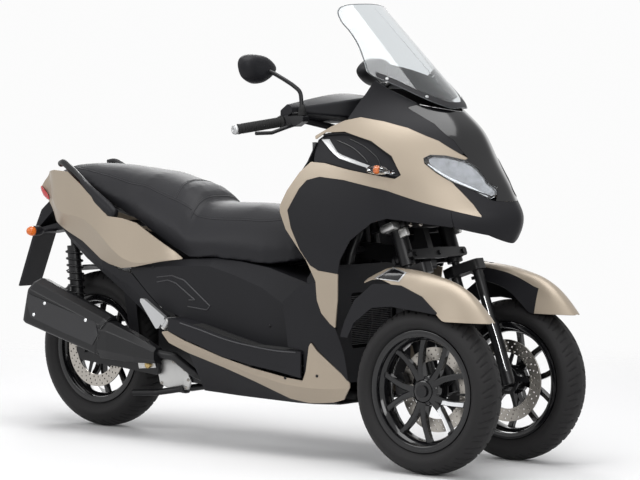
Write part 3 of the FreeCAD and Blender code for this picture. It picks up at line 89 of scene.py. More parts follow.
world = bpy.data.worlds.new("studio")
world.use_nodes = True
scene.world = world
wired(world.node_tree, {"rays": "ShaderNodeLightPath", "seen": "MAXIMUM", "plain": "MAXIMUM",
    "surround": ("ShaderNodeMix", {"data_type": "RGBA", "A": (0.3, 0.3, 0.31, 1),
    "B": (0.97, 0.97, 0.97, 1)})}, "rays.Is Camera Ray > seen.0, rays.Is Transmission Ray > seen.1, "
    "seen.0 > plain.0, rays.Is Glossy Ray > plain.1, plain.0 > surround.Factor, "
    "surround.Result > Background.Color")

for name, place, goal, size, power in (("soft box above", (0.6, -0.6, 4.6), (0, 0, 0.5), 3.4, 150),
        ("soft box ahead", (4.6, -3.6, 2.6), (0.4, 0, 0.7), 2.2, 95), ("soft box beside", (-2.6, -4.6, 2.8),
        (-0.4, 0, 0.6), 2.2, 65), ("soft box behind", (-3.2, 3.8, 3.2), (0, 0, 0.7), 2.4, 90)):
    lamp = added(name, bpy.data.lights.new(name, "AREA"))
    lamp.data.shape = "SQUARE"
    lamp.data.size = size
    lamp.data.energy = power
    facing = (Vector(goal) - Vector(place)).to_track_quat("-Z", "Y").to_matrix().to_4x4()
    lamp.matrix_world = Matrix.Translation(place) @ facing

floor_mesh = bpy.data.meshes.new("floor")
floor_mesh.from_pydata([(-14, -14, 0), (14, -14, 0), (14, 14, 0), (-14, 14, 0)], [], [(0, 1, 2, 3)])
floor = added("floor", floor_mesh)
paper = bpy.data.materials.new("floor paper")
paper.use_nodes = True
shade = paper.node_tree.nodes["Principled BSDF"]
shade.inputs["Base Color"].default_value = (0.94, 0.94, 0.94, 1)
shade.inputs["Roughness"].default_value = 0.9
wired(paper.node_tree, {"spot": "ShaderNodeTexCoord", "reach": ("ShaderNodeVectorMath",
    {"operation": "LENGTH"}), "fade": ("ShaderNodeMapRange", {"interpolation_type": "SMOOTHSTEP",
    "From Min": 1.9, "From Max": 4.2}), "clear": "ShaderNodeBsdfTransparent", "blend": "ShaderNodeMixShader"},
    "spot.Object > reach.0, reach.Value > fade.Value, fade.Result > blend.Fac, "
    "Principled BSDF.BSDF > blend.1, clear.BSDF > blend.2, blend.Shader > Material Output.Surface")
floor_mesh.materials.append(paper)


# Fairing, tail, sill and mudguard panels: injection-moulded shells sprayed in a satin sand metallic.
# The spray shows as a faint cloudiness and a fine sparkle, and every finish on the vehicle starts from
# the same group: patchy tone, patchy sheen and a fine grain for the bump.
def node_tree(name, kind, inputs, outputs, parts, wires):
    """A node group with named inputs and outputs, given as {name: socket type}."""
    tree = bpy.data.node_groups.new(name, kind)
    for way, sockets in (("INPUT", inputs), ("OUTPUT", outputs)):
        for label, socket_type in sockets.items():
            tree.interface.new_socket(name=label, in_out=way, socket_type="NodeSocket" + socket_type)
    wired(tree, {"given": "NodeGroupInput", "result": "NodeGroupOutput", **parts}, wires)
    return tree


surface = node_tree("surface", "ShaderNodeTree", {"Vector": "Vector", "Colour": "Color", "Variation": "Float",
    "Patch scale": "Float", "Grain scale": "Float", "Roughness": "Float", "Roughness spread": "Float"},
    {"Colour": "Color", "Roughness": "Float", "Height": "Float"}, {"patches": ("ShaderNodeTexNoise",
    {"Detail": 4}), "grain": ("ShaderNodeTexNoise", {"Detail": 2}), "centred": ("SUBTRACT", {1: 0.5}),
    "tone": ("MULTIPLY_ADD", {2: 1.0}), "tinted": "ShaderNodeHueSaturation", "sheen": "MULTIPLY_ADD"},
    "given.Vector > patches.Vector, given.Vector > grain.Vector, given.Patch scale > patches.Scale, "
    "given.Grain scale > grain.Scale, patches.Fac > centred.0, centred.0 > tone.0, given.Variation > tone.1, "
    "given.Colour > tinted.Color, tone.0 > tinted.Value, centred.0 > sheen.0, "
    "given.Roughness spread > sheen.1, given.Roughness > sheen.2, tinted.Color > result.Colour, "
    "sheen.0 > result.Roughness, grain.Fac > result.Height")


def finish(name, colour, roughness, variation=0.12, patch=5.0, grain=700.0, depth=0.00006, spread=0.1,
        **sockets):
    """A Principled material whose tone, sheen and bump come from the surface group."""
    material = bpy.data.materials.new(name)
    material.use_nodes = True
    made = material.node_tree
    wired(made, {"place": "ShaderNodeTexCoord", "look": ("ShaderNodeGroup",
        {"node_tree": surface, "Colour": (*colour, 1), "Variation": variation, "Patch scale": patch,
        "Grain scale": grain, "Roughness": roughness, "Roughness spread": spread}),
        "relief": ("ShaderNodeBump", {"Strength": 1.0, "Distance": depth})},
        "place.Object > look.Vector, look.Colour > Principled BSDF.Base Color, "
        "look.Roughness > Principled BSDF.Roughness, look.Height > relief.Height, "
        "relief.Normal > Principled BSDF.Normal")
    for label, value in sockets.items():
        made.nodes["Principled BSDF"].inputs[label.replace("_", " ")].default_value = value
    return material


def dress(material, names):
    """Gives the CAD's own solids a finish."""
    for name in names.split():
        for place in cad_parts[name].material_slots:
            place.material = material


sand = finish("satin sand paint", (0.37, 0.31, 0.24), 0.4, variation=0.1, grain=1600, depth=0.00003,
    Metallic=0.35, Coat_Weight=0.12, Coat_Roughness=0.35)
dress(sand, "side_panels tail_panels skirts")

# Dark mouldings: side cowls, beak, upper cowl, vent insets, cover over the bar, under-tail strips, foot
# boards, spine cover, knee shield, underside, bin, meter hood and mudguard skirts, all grained
# polypropylene left unpainted.
moulded = finish("grained black plastic", (0.009, 0.009, 0.011), 0.5, variation=0.5, grain=1100,
    depth=0.00012, Specular_IOR_Level=0.2)
dress(moulded, "side_cowls beak upper_cowl vent_insets bar_cover undertail footboards tunnel "
    "inner_shield lower_shields wheel_wall belly_pan storage_bin meter plate_holder rear_hugger "
    "fender_skirt_left fender_skirt_right seat_pan")

# Centre of the nose: the same moulding in gloss black lacquer.
lacquer = finish("gloss black lacquer", (0.006, 0.006, 0.007), 0.13, variation=0.2, grain=300, depth=0.00001,
    spread=0.04, Specular_IOR_Level=0.3, Coat_Weight=0.35, Coat_Roughness=0.06)
dress(lacquer, "nose_panel")

# Frame, links, tubes, bar, forks, swing arm, stands, shocks, rails, silencer and crankcase: steel and
# castings in black stove enamel.
enamel = finish("black stove enamel", (0.008, 0.008, 0.009), 0.36, variation=0.4, grain=500, depth=0.00006,
    Specular_IOR_Level=0.32)
dress(enamel, "frame lean_links side_tubes handlebar fork_left fork_right steering_link swing_arm "
    "centre_stand side_stand rear_shocks grab_rails muffler front_stay engine")

# Brackets of the passenger pegs, and the engine's covers further on: sand-cast aluminium, tumbled.
cast = finish("cast aluminium", (0.55, 0.55, 0.54), 0.42, variation=0.25, patch=30, grain=260, depth=0.00025,
    Metallic=0.9)
dress(cast, "peg_brackets")

# Glass, lamps, mirrors, rubber, brake discs and the seat's cover, for the small pieces further on too.
rubber = finish("grip rubber", (0.013, 0.013, 0.013), 0.7, grain=420, depth=0.0002, Specular_IOR_Level=0.3)
clear_glass = finish("clear polycarbonate", (0.93, 0.95, 0.97), 0.03, variation=0.02, grain=20,
    depth=0.000005, spread=0.01, Transmission_Weight=1.0, IOR=1.49)
screen_glass = finish("tinted screen", (0.7, 0.735, 0.755), 0.04, variation=0.02, grain=20, depth=0.000005,
    spread=0.01, Transmission_Weight=1.0, IOR=1.49)
dress(clear_glass, "headlamp_lenses")
red_glass = finish("red lens", (0.55, 0.012, 0.018), 0.12, variation=0.1, grain=60, depth=0.00002,
    Coat_Weight=0.6, Coat_Roughness=0.05)
dress(red_glass, "tail_lamp")
mirror_face = finish("mirror face", (0.86, 0.87, 0.88), 0.03, variation=0.02, grain=30, depth=0.000002,
    Metallic=1.0)
tyre_rubber = finish("tyre rubber", (0.012, 0.0115, 0.012), 0.66, variation=0.35, patch=9, grain=800,
    depth=0.00012, Specular_IOR_Level=0.28)
ground_steel = finish("ground disc steel", (0.42, 0.395, 0.36), 0.3, variation=0.2, grain=900, depth=0.00003,
    Metallic=1.0)
vinyl = finish("seat vinyl", (0.011, 0.011, 0.0135), 0.5, variation=0.3, grain=480, depth=0.0002,
    Specular_IOR_Level=0.26)

# Tyres: black rubber moulded in one piece, with raised rings on the flank and slanting curved grooves
# that mirror about the middle. The tread is pressed into a turned skin, one row of points for each
# 2.6 mm of the way round.
REAR_AXLE = Vector((-0.732, 0, 0.276))
SIDES = (("left", 1), ("right", -1))
BEAD = 0.192


def front_axle(sign):
    return Vector((0.863, sign * 0.235, 0.262))


def mm(text):
    """Points in metres from a text of millimetres, with commas between the points."""
    return [tuple(float(value) / 1000 for value in point.split()) for point in text.split(",")]


def sharp(piece, degrees, smooth=False):
    """Marks the edges of a piece sharp from an angle on; smooth also shades all of it smooth."""
    if smooth:
        piece.data.polygons.foreach_set("use_smooth", [True] * len(piece.data.polygons))
    piece.data.set_sharp_from_angle(angle=radians(degrees))
    return piece


def mirrored(sign, text):
    """Points from a text of millimetres, for the left side or turned over to the right."""
    return [(x, sign * y, z) for x, y, z in mm(text)]


def beside(y, pairs):
    """Points (x, y, z) at one distance from the middle plane, from (x, z) pairs."""
    return [(x, y, z) for x, z in pairs]


def quads(rows, wide, closed=True):
    """The faces between neighbouring rings of points; closed also joins the last ring to the first."""
    return [(row * wide + k, row * wide + (k + 1) % wide, (row + 1) % rows * wide + (k + 1) % wide,
        (row + 1) % rows * wide + k) for row in range(rows if closed else rows - 1) for k in range(wide)]


def settle(piece, body, slot, *nodes):
    """Ties a finished piece to its body and hides the solids that it stands for; slot is not used."""
    if nodes:
        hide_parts(*nodes)
    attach(piece, body)
    return piece


def flat_mesh(name, points, faces, material, smooth=True):
    """A piece's object, at the origin, from points in metres."""
    mesh = bpy.data.meshes.new(name)
    mesh.from_pydata([tuple(p) for p in points], [], faces)
    build = bmesh.new()
    build.from_mesh(mesh)
    bmesh.ops.remove_doubles(build, verts=build.verts, dist=1e-6)
    bmesh.ops.recalc_face_normals(build, faces=build.faces)
    build.to_mesh(mesh)
    build.free()
    mesh.materials.append(material)
    mesh.polygons.foreach_set("use_smooth", [smooth] * len(mesh.polygons))
    return added(name, mesh)


def smooth_path(points, steps):
    """Catmull-Rom points through a short list of (a, b) pairs."""
    path = []
    ends = [points[0]] + list(points) + [points[-1]]
    for p0, p1, p2, p3 in zip(ends, ends[1:], ends[2:], ends[3:]):
        for step in range(steps):
            t = step / steps
            path.append(tuple(0.5 * (2 * b + (c - a) * t + (2 * a - 5 * b + 4 * c - d) * t * t
                + (3 * b - a - 3 * c + d) * t ** 3) for a, b, c, d in zip(p0, p1, p2, p3)))
    return path + [points[-1]]


def tread_depth(along, across, pitch, half):
    """How far a tread groove cuts in, from the distance round the tyre and the distance from its middle."""
    side = abs(across)
    if side > half:
        return 0.0
    deepest = 0.0
    for lag, inner, outer, width, lean in ((0.0, 0.1, 0.94, 0.0024, 0.03), (0.5, 0.34, 0.86, 0.0017, 0.022)):
        share = side / half
        if inner < share < outer:
            home = lean * share ** 1.5 + lag * pitch + (0.25 * pitch if across < 0 else 0)
            off = (along - home) % pitch
            off = min(off, pitch - off)
            ends = min(1.0, (share - inner) / 0.08, (outer - share) / 0.08)
            deepest = max(deepest, 0.0042 * ends * max(0.0, min(1.0, (width - off) / 0.0013 + 1.0)))
    return deepest


def make_tyre(name, centre, radius, half, body, node):
    rise = radius - BEAD
    flank = smooth_path([(0.0377 if radius < 0.27 else 0.0477, BEAD), (half * 0.86, BEAD + rise * 0.14),
        (half, BEAD + rise * 0.42), (half * 0.8, BEAD + rise * 0.74), (half * 0.42, radius - rise * 0.055),
        (0, radius)], 8)
    ridged = []
    for across, r in flank:
        gap = min(abs(r - BEAD - rise * ring) for ring in (0.3, 0.52))
        ridged.append((across + 0.001 * max(0.0, 1 - gap / 0.0022), r))
    bead = ridged[0][0]
    section = [(-0.5 * bead, 0.18), (-bead, 0.18)] + [(-a, r) for a, r in ridged] + ridged[-2::-1]
    section += [(bead, 0.18), (0.5 * bead, 0.18)]
    around = 640
    count = round(2 * pi * radius / 0.052)
    pitch = 2 * pi * radius / count
    points = []
    for step in range(around):
        angle = 2 * pi * step / around
        out = Vector((sin(angle), 0, cos(angle)))
        for across, r in section:
            depth = tread_depth(angle * radius, across, pitch, half * 0.9) if r > radius - rise * 0.5 else 0.0
            points.append(centre + out * (r - depth) + Vector((0, across, 0)))
    tyre = flat_mesh(name, points, quads(around, len(section)), tyre_rubber)
    settle(tyre, body, "tyre_rubber", node)


make_tyre("rear_tyre", REAR_AXLE, 0.276, 0.07, "rear_wheel", "tyre_rear")
for side, sign in SIDES:
    make_tyre(side + "_front_tyre", front_axle(sign), 0.262, 0.06, "wheel_" + side, "tyre_front_" + side)


# Rims: cast aluminium in gloss black, five V-shaped pairs of arms from a short hub to a dropped-centre
# barrel with rounded flanges. One V is cast as a mesh and repeated round the axle by a node tree.
def baked(holder, name):
    """The evaluated shape of an object as a plain mesh object, in place of the object."""
    bpy.context.view_layer.update()
    mesh = bpy.data.meshes.new_from_object(holder.evaluated_get(bpy.context.evaluated_depsgraph_get()))
    mesh.name = name
    bpy.data.objects.remove(holder)
    return added(name, mesh)


def through(piece, tree, name, **values):
    """A piece sent through a node tree and baked; underscores in the inputs' names stand for spaces."""
    steps = piece.modifiers.new("nodes", "NODES")
    steps.node_group = tree
    for item in tree.interface.items_tree:
        if item.in_out == "INPUT" and item.name.replace(" ", "_") in values:
            steps[item.identifier] = values[item.name.replace(" ", "_")]
    return baked(piece, name)


def copying_tree(name, inputs, parts, wires):
    """A node tree that sets copies on points, makes them real and gives them their material."""
    return node_tree(name, "GeometryNodeTree", {"Geometry": "Geometry", **inputs, "Material": "Material"},
        {"Geometry": "Geometry"}, {**parts, "copies": "GeometryNodeInstanceOnPoints",
        "real": "GeometryNodeRealizeInstances", "painted": "GeometryNodeSetMaterial"},
        wires + ", copies.Instances > real.Geometry, real.Geometry > painted.Geometry, "
        "given.Material > painted.Material, painted.Geometry > result.Geometry")


copies_round = copying_tree("copies round an axle", {"Count": "Int", "Start": "Float"},
    {"spots": ("GeometryNodeMeshLine", {"Offset": (0, 0, 0)}), "index": "GeometryNodeInputIndex",
    "share": "DIVIDE", "angle": ("MULTIPLY_ADD", {1: 2 * pi}), "spin": "ShaderNodeCombineXYZ"},
    "given.Count > spots.Count, index.Index > share.0, given.Count > share.1, share.0 > angle.0, "
    "given.Start > angle.2, angle.0 > spin.Z, spots.Mesh > copies.Points, given.Geometry > copies.Instance, "
    "spin.Vector > copies.Rotation")


def repeated(piece, start, material, name):
    """A piece repeated five times round the Z axis."""
    return through(piece, copies_round, name, Count=5, Start=start, Material=material)


def turned(name, profile, material, steps=144):
    """A closed body round the Z axis from (radius, along) points, in metres."""
    points = []
    for step in range(steps):
        angle = 2 * pi * step / steps
        points += [(r * cos(angle), r * sin(angle), a) for r, a in profile]
    return flat_mesh(name, points, quads(steps, len(profile)), material)


def lofted(name, rings, material, smooth=False):
    """A closed body through rings of equally many points."""
    points = [p for ring in rings for p in ring]
    wide = len(rings[0])
    ends = [tuple(range(wide)), tuple(range(len(points) - wide, len(points)))]
    return flat_mesh(name, points, ends + quads(len(rings), wide, closed=False), material, smooth)


def bevelled(piece, width, segments=2, angle=35):
    """Rounds a piece's sharp edges and bakes the result."""
    soft = piece.modifiers.new("edges", "BEVEL")
    soft.width = width
    soft.segments = segments
    soft.limit_method = "ANGLE"
    soft.angle_limit = radians(angle)
    soft.harden_normals = False
    name = piece.name
    piece.name = name + "_raw"
    return sharp(baked(piece, name), 32, smooth=True)


def joined(pieces, name):
    """Several mesh objects as one, keeping their materials."""
    base = pieces[0]
    with bpy.context.temp_override(active_object=base, selected_editable_objects=pieces):
        bpy.ops.object.join()
    base.name = name
    base.data.name = name
    return base


def on_axle(piece, centre, outboard):
    """Stands a piece made round the Z axis on an axle, its +Z end towards the given side."""
    piece.data.transform(Matrix.Translation(centre) @ Matrix(((-outboard, 0, 0, 0), (0, 0, outboard, 0),
        (0, 1, 0, 0), (0, 0, 0, 1))))
    return piece


def arm_ring(r, angle, wide, low, high):
    """One cross section of a spoke at a radius: an octagon with a crowned outer face."""
    along = Vector((cos(angle), sin(angle), 0))
    side = Vector((-sin(angle), cos(angle), 0))
    base = along * r
    cut = wide * 0.3
    return [tuple(base + side * y + Vector((0, 0, z))) for y, z in ((-wide, low + cut), (-wide + cut, low),
        (wide - cut, low), (wide, low + cut), (wide, high - cut), (wide - cut * 1.4, high),
        (-wide + cut * 1.4, high), (-wide, high - cut))]


def vee(name, rows, material):
    """Two arms about the +X axis from (radius, share of 20 degrees, half width, low, high) rows."""
    arms = [lofted("arm", [arm_ring(r, side * radians(20) * share, *rest) for r, share, *rest in rows],
        material) for side in (-1, 1)]
    return joined(arms, name)


SPOKE_START = radians(-31)


def barrel_profile(seat):
    """The rim's ring: flanges with rounded lips, bead seats, and a well between them."""
    half = [(r, seat + a) for r, a in mm("191.7 0.2, 191.7 3.6, 190.5 5.4, 188 6, 174 6, 171.5 5, 170 2, "
        "169 -8, 165 -12, 159 -19, 157.2 -24")]
    outer = [(0.178, seat - 0.0003), (0.178, seat - 0.013), (0.164, seat - 0.02)]
    return (half + [(r, -a) for r, a in reversed(half)] + [(r, -a) for r, a in outer] + list(reversed(outer)))


def make_rim(name, centre, outboard, seat, hub, low, high, body, node):
    pieces = [turned("barrel", barrel_profile(seat), lacquer, 180), turned("hub", hub, lacquer, 72)]
    arms = [(r, share, wide, low, high - drop) for r, share, wide, drop in mm("36 300 13 0, 55 420 11.5 1, "
        "85 560 9.8 3, 120 780 9 5, 148 940 9.4 6, 160 1000 11.2 6")]
    pieces.append(repeated(vee("spoke_pair", arms, lacquer), SPOKE_START, lacquer, "arms"))
    stem = turned("valve", mm("0.1 30, 2.6 30, 3 18, 4.2 14, 4.2 0, 0.1 0"), rubber, 14)
    stem.data.transform(Matrix.Translation((0.158, 0, seat - 0.022)) @ Matrix.Rotation(radians(-70), 4, "Y"))
    pieces.append(stem)
    wheel = on_axle(joined(pieces, name), centre, outboard)
    settle(sharp(wheel, 34), body, "gloss_black", node)


FRONT_HUB = mm("9.2 30, 29 30, 33 28.5, 35 25, 44 21.5, 47 18, 47 1, 42 -4, 34 -12, 34 -45, 9.2 -45")
REAR_HUB = mm("9.2 62, 33 62, 34 60, 36 30, 48 22, 48 -22, 36 -30, 34 -60, 33 -62, 9.2 -62")
make_rim("rear_rim", REAR_AXLE, -1, 0.048, REAR_HUB, 0.0, 0.024, "rear_wheel", "rim_rear")
for side, sign in SIDES:
    make_rim(side + "_front_rim", front_axle(sign), sign, 0.038, FRONT_HUB, 0.003, 0.029, "wheel_" + side,
        "rim_front_" + side)

# Painted highlight on one V of each front rim: a pale silver coat on the outer face of both arms stands in
# for the light caught on the glossy black arms, no lettering.
highlight_silver = finish("pale silver coat", (0.78, 0.79, 0.8), 0.4, variation=0.08, grain=600, depth=0.00002,
    Metallic=0.25)
for side, sign in SIDES:
    rows = [(r, share, wide, top, top + 0.0012) for r, share, wide, top in mm("78 420 7.4 26.3, "
        "86 560 6.6 25.9, 100 650 6.2 25.4, 120 780 6.2 24.5, 148 940 6.8 23.3, 155 975 7.2 23.2")]
    highlight_arms = vee(side + "_rim_accent", rows, highlight_silver)
    highlight_arms.data.transform(Matrix.Rotation(SPOKE_START, 4, "Z"))
    on_axle(highlight_arms, front_axle(sign), sign)
    settle(highlight_arms, "wheel_" + side, "lamp_reflector")

# Brake discs: stainless rotors ground on both faces, on a black carrier with five arms. A node tree cuts
# the holes: rings of drill bits round the Z axis, each ring lagging behind the one inside it.
holes = node_tree("drilled holes", "GeometryNodeTree", {"Geometry": "Geometry", "Rows": "Int",
    "Holes in a row": "Int", "First radius": "Float", "Row step": "Float", "Row lag": "Float",
    "Hole radius": "Float", "Material": "Material"}, {"Geometry": "Geometry"},
    {"total": "MULTIPLY", "shared": "DIVIDE", "row": "FLOOR", "lagged": "MULTIPLY_ADD", "turn": "DIVIDE",
    "out": "MULTIPLY_ADD", "cosine": "COSINE", "sine": "SINE", "x": "MULTIPLY", "y": "MULTIPLY",
    "angle": ("MULTIPLY", {1: 2 * pi}), "index": "GeometryNodeInputIndex",
    "spots": ("GeometryNodeMeshLine", {"Offset": (0, 0, 0)}), "place": "ShaderNodeCombineXYZ",
    "moved": "GeometryNodeSetPosition", "bits": "GeometryNodeInstanceOnPoints",
    "bit": ("GeometryNodeMeshCylinder", {"Vertices": 12, "Depth": 0.2}),
    "solid": "GeometryNodeRealizeInstances", "painted": "GeometryNodeSetMaterial",
    "cut": ("GeometryNodeMeshBoolean", {"operation": "DIFFERENCE"})}, "given.Rows > total.0, "
    "given.Holes in a row > total.1, total.0 > spots.Count, index.Index > shared.0, "
    "given.Holes in a row > shared.1, shared.0 > row.0, row.0 > lagged.0, given.Row lag > lagged.1, "
    "index.Index > lagged.2, lagged.0 > turn.0, given.Holes in a row > turn.1, turn.0 > angle.0, "
    "row.0 > out.0, given.Row step > out.1, given.First radius > out.2, angle.0 > cosine.0, "
    "angle.0 > sine.0, cosine.0 > x.0, out.0 > x.1, sine.0 > y.0, out.0 > y.1, x.0 > place.X, y.0 > place.Y, "
    "spots.Mesh > moved.Geometry, place.Vector > moved.Position, given.Hole radius > bit.Radius, "
    "moved.Geometry > bits.Points, bit.Mesh > bits.Instance, bits.Instances > solid.Geometry, "
    "given.Geometry > cut.Mesh 1, solid.Geometry > cut.Mesh 2, cut.Mesh > painted.Geometry, "
    "given.Material > painted.Material, painted.Geometry > result.Geometry")


def make_disc(name, centre, outboard, low, body, node):
    """Rotor and carrier between the heights low and low + 5 mm on the axle."""
    high = low + 0.005
    rotor = turned("rotor", [(0.092, low), (0.1331, low), (0.1335, low + 0.0004), (0.1335, high - 0.0004),
        (0.1331, high), (0.092, high)], ground_steel, 120)
    rotor = through(rotor, holes, "rotor", Rows=3, Holes_in_a_row=30, First_radius=0.099, Row_step=0.0125,
        Row_lag=0.33, Hole_radius=0.003, Material=ground_steel)
    rows = ((0.036, 0.0, 0.011), (0.06, 0.1, 0.008), (0.095, 0.16, 0.007))
    rings = [arm_ring(*row, low + 0.0006, high - 0.0006) for row in rows]
    arm = repeated(lofted("carrier_arm", rings, enamel), 0.4, enamel, "carrier_arms")
    boss = turned("boss", [(0.0345, low), (0.045, low), (0.0455, high), (0.0345, high)], enamel, 60)
    button = turned("button", [(0.0, low - 0.0016), (0.005, low - 0.0016), (0.0058, low - 0.0004),
        (0.0058, high + 0.0004), (0.005, high + 0.0016), (0.0, high + 0.0016)], ground_steel, 16)
    button.data.transform(Matrix.Translation((0.0945, 0.015, 0)))
    buttons = repeated(button, 0.4, ground_steel, "buttons")
    disc = on_axle(joined([rotor, arm, boss, buttons], name), centre, outboard)
    settle(sharp(disc, 34), body, "disc_steel", node)


make_disc("rear_brake_disc", REAR_AXLE, -1, 0.05, "rear_wheel", "disc_rear")
for side, sign in SIDES:
    make_disc(side + "_front_brake_disc", front_axle(sign), sign, -0.045, "wheel_" + side,
        "disc_front_" + side)

# Seat: two foam pads on a plastic pan under one stretched vinyl cover, a low rider's part and a raised
# passenger's part behind a back rest. The pad is blown up a little against its pan by a cloth run; piping
# seams and a sewn centre panel are laid on afterwards.
SEAT_ROWS = mm("300 44 640 60, 262 96 639 93, 222 128 634 139, 180 142 625 174, 120 157 619 185, "
    "20 170 626.6 187, -83 182 632.6 178, -150 184 631 180, -190 184 629.2 187, -225 184 645 205, "
    "-262 184 661.2 210, -343 186 700.2 190, -422 180 742.2 168, -515 158 770.2 148, -620 146 806.2 122, "
    "-747 121 856.2 76, -845 99 884.2 42, -894 72 896.2 12")


def seat_body():
    rings = []
    for x, half, low, thick in SEAT_ROWS:
        ring = [(x, y, low + 0.0006) for y in (half * 0.5, half * 0.96)]
        for step in range(0, 17):
            share = cos(pi * step / 16)
            side = abs(share)
            y = copysign(half * (side ** 0.9), share)
            ring.append((x, y, low + thick * (0.3 + 0.7 * (1 - side ** 3.0))))
        ring += [(x, -half * 0.96, low + 0.0006), (x, -half * 0.5, low + 0.0006)]
        rings.append(ring)
    return lofted("seat_pad", rings, vinyl)


seat = seat_body()
grid = seat.modifiers.new("grid", "REMESH")
grid.mode = "VOXEL"
grid.voxel_size = 0.008
grid.use_smooth_shade = True
seat.name = "seat_pad_raw"
seat = baked(seat, "seat_pad")
pin = seat.vertex_groups.new(name="pin")
for vertex in seat.data.vertices:
    x, y, z = vertex.co
    low = 0.0
    for near, far in zip(SEAT_ROWS, SEAT_ROWS[1:]):
        if near[0] >= x >= far[0]:
            share = (near[0] - x) / (near[0] - far[0])
            low = near[2] + (far[2] - near[2]) * share
            thick = near[3] + (far[3] - near[3]) * share
            break
    else:
        low, thick = z, 1.0
    weight = 1.0 if z < low + 0.22 * thick or x > 0.285 or x < -0.86 else 0.0
    # The tight seam between the rider's pad and the raised pad is sewn down.
    if abs(x + 0.205) < 0.012 and z > low + 0.1 * thick:
        weight = 1.0
    if weight:
        pin.add([vertex.index], weight, "REPLACE")
cloth = seat.modifiers.new("cover", "CLOTH")
for label, value in {"quality": 5, "mass": 0.4, "tension_stiffness": 14, "compression_stiffness": 14,
        "bending_stiffness": 0.6, "vertex_group_mass": "pin", "use_pressure": True,
        "uniform_pressure_force": 4.0}.items():
    setattr(cloth.settings, label, value)
cloth.settings.effector_weights.gravity = 0.0
cloth.collision_settings.use_self_collision = False
last_frame = 20
cloth.point_cache.frame_start = 1
cloth.point_cache.frame_end = last_frame
rest_points = [vertex.co.copy() for vertex in seat.data.vertices]
for frame_number in range(1, last_frame + 1):
    scene.frame_set(frame_number)
seat = baked(seat, "seat_pad")
# The cover gives at most 5 mm, so that it stays on its pan and inside the panels.
most = 0.005
for vertex, was in zip(seat.data.vertices, rest_points):
    move = vertex.co - was
    if move.length > most:
        vertex.co = was + move.normalized() * most
scene.frame_set(1)


def tree_of(*pieces):
    """A ray-casting tree over the surfaces of several objects at the origin."""
    points, faces = [], []
    for piece in pieces:
        start = len(points)
        points += [piece.matrix_world @ vertex.co for vertex in piece.data.vertices]
        faces += [[start + k for k in face.vertices] for face in piece.data.polygons]
    return BVHTree.FromPolygons(points, faces)


def solid_tree(name):
    return tree_of(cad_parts[name])


def hit(tree, origin, direction):
    """Where a ray meets the surface, with the surface's normal turned towards the ray's start."""
    spot, normal, _, _ = tree.ray_cast(Vector(origin), Vector(direction).normalized())
    if spot is None:
        return None, None
    if normal.dot(Vector(direction)) > 0:
        normal = -normal
    return spot, normal


def tube(name, path, radius, material, sides=10, closed=False):
    """A round bead or pipe through a list of points, with rounded ends."""
    path = [Vector(p) for p in path]
    rings = []
    guide = Vector((0.13, 0.27, 1.0)).normalized()
    for k, spot in enumerate(path):
        before = path[k - 1] if k or closed else spot
        after = path[(k + 1) % len(path)] if k < len(path) - 1 or closed else spot
        ahead = (after - before).normalized()
        side = ahead.cross(guide)
        if side.length < 0.05:
            side = ahead.cross(Vector((1, 0, 0)))
        side.normalize()
        up = side.cross(ahead)
        size = radius(k / max(1, len(path) - 1)) if callable(radius) else radius
        rings.append([tuple(spot + side * cos(2 * pi * s / sides) * size
            + up * sin(2 * pi * s / sides) * size) for s in range(sides)])
    if closed:
        return flat_mesh(name, [p for ring in rings for p in ring], quads(len(rings), sides), material)
    return sharp(lofted(name, rings, material, smooth=True), 50)


def laid(tree, starts, direction, sink=0.0):
    """Where the rays from some starts meet a surface, sunk into it by a distance."""
    found = [hit(tree, start, direction) for start in starts]
    return [spot - normal * sink for spot, normal in found if spot is not None]


def draped(tree, marks, direction, steps=8, sink=0.0):
    """Points on a surface below a smooth line through marks, seen along a direction."""
    back_off = Vector(direction).normalized() * 0.6
    return laid(tree, [Vector(mark) - back_off for mark in smooth_path(marks, steps)], direction, sink=sink)


soft = seat.modifiers.new("soft", "SUBSURF")
soft.levels = 1
seat = baked(seat, "seat_pad")
seat.data.materials.clear()
seat.data.materials.append(vinyl)
seat.data.polygons.foreach_set("use_smooth", [True] * len(seat.data.polygons))
seat_tree = tree_of(seat)
down = Vector((0, 0, -1))
seams = []
thread = finish("sewing thread", (0.03, 0.03, 0.032), 0.6, grain=2500, depth=0.00008)
for sign in (-1, 1):
    seams.append(mirrored(sign, "262 58 900, 180 92 900, 100 118 900, 0 132 900, -90 140 900, -165 138 900, "
        "-205 136 900"))
    seams.append(mirrored(sign, "-215 136 1000, -260 140 1000, -343 142 1000, -440 136 1000, -550 122 1000, "
        "-660 108 1000, -780 86 1000, -860 60 1000"))
seams.append(mm("-205 -150 1000, -206 -80 1000, -206 0 1000, -206 80 1000, -205 150 1000"))
seams.append(mm("-285 -135 1000, -300 -70 1000, -306 0 1000, -300 70 1000, -285 135 1000"))
piping = [tube("piping", draped(seat_tree, line, down, steps=10, sink=0.0012), 0.0026, vinyl, 8)
    for line in seams]
piping = joined(piping, "seat_piping")


# Stitches: one short thread repeated along each seam by a node tree, on the inner side of the long seams
# and on both sides of the two cross seams.
stitching = copying_tree("stitches along a line", {"Spacing": "Float", "Thread": "Object"},
    {"line": "GeometryNodeMeshToCurve", "spaced": ("GeometryNodeResampleCurve", {"mode": "LENGTH"}),
    "tangent": "GeometryNodeInputTangent", "source": "GeometryNodeObjectInfo",
    "facing": ("FunctionNodeAlignRotationToVector", {"axis": "X"})}, "given.Geometry > line.Mesh, "
    "line.Curve > spaced.Curve, given.Spacing > spaced.Length, tangent.Tangent > facing.Vector, "
    "given.Thread > source.Object, spaced.Curve > copies.Points, source.Geometry > copies.Instance, "
    "facing.Rotation > copies.Rotation")
one_thread = tube("one_thread", mm("-2.1 0 0, -1.3 0 0.4, 1.3 0 0.4, 2.1 0 0"), 0.0005, thread, 6)


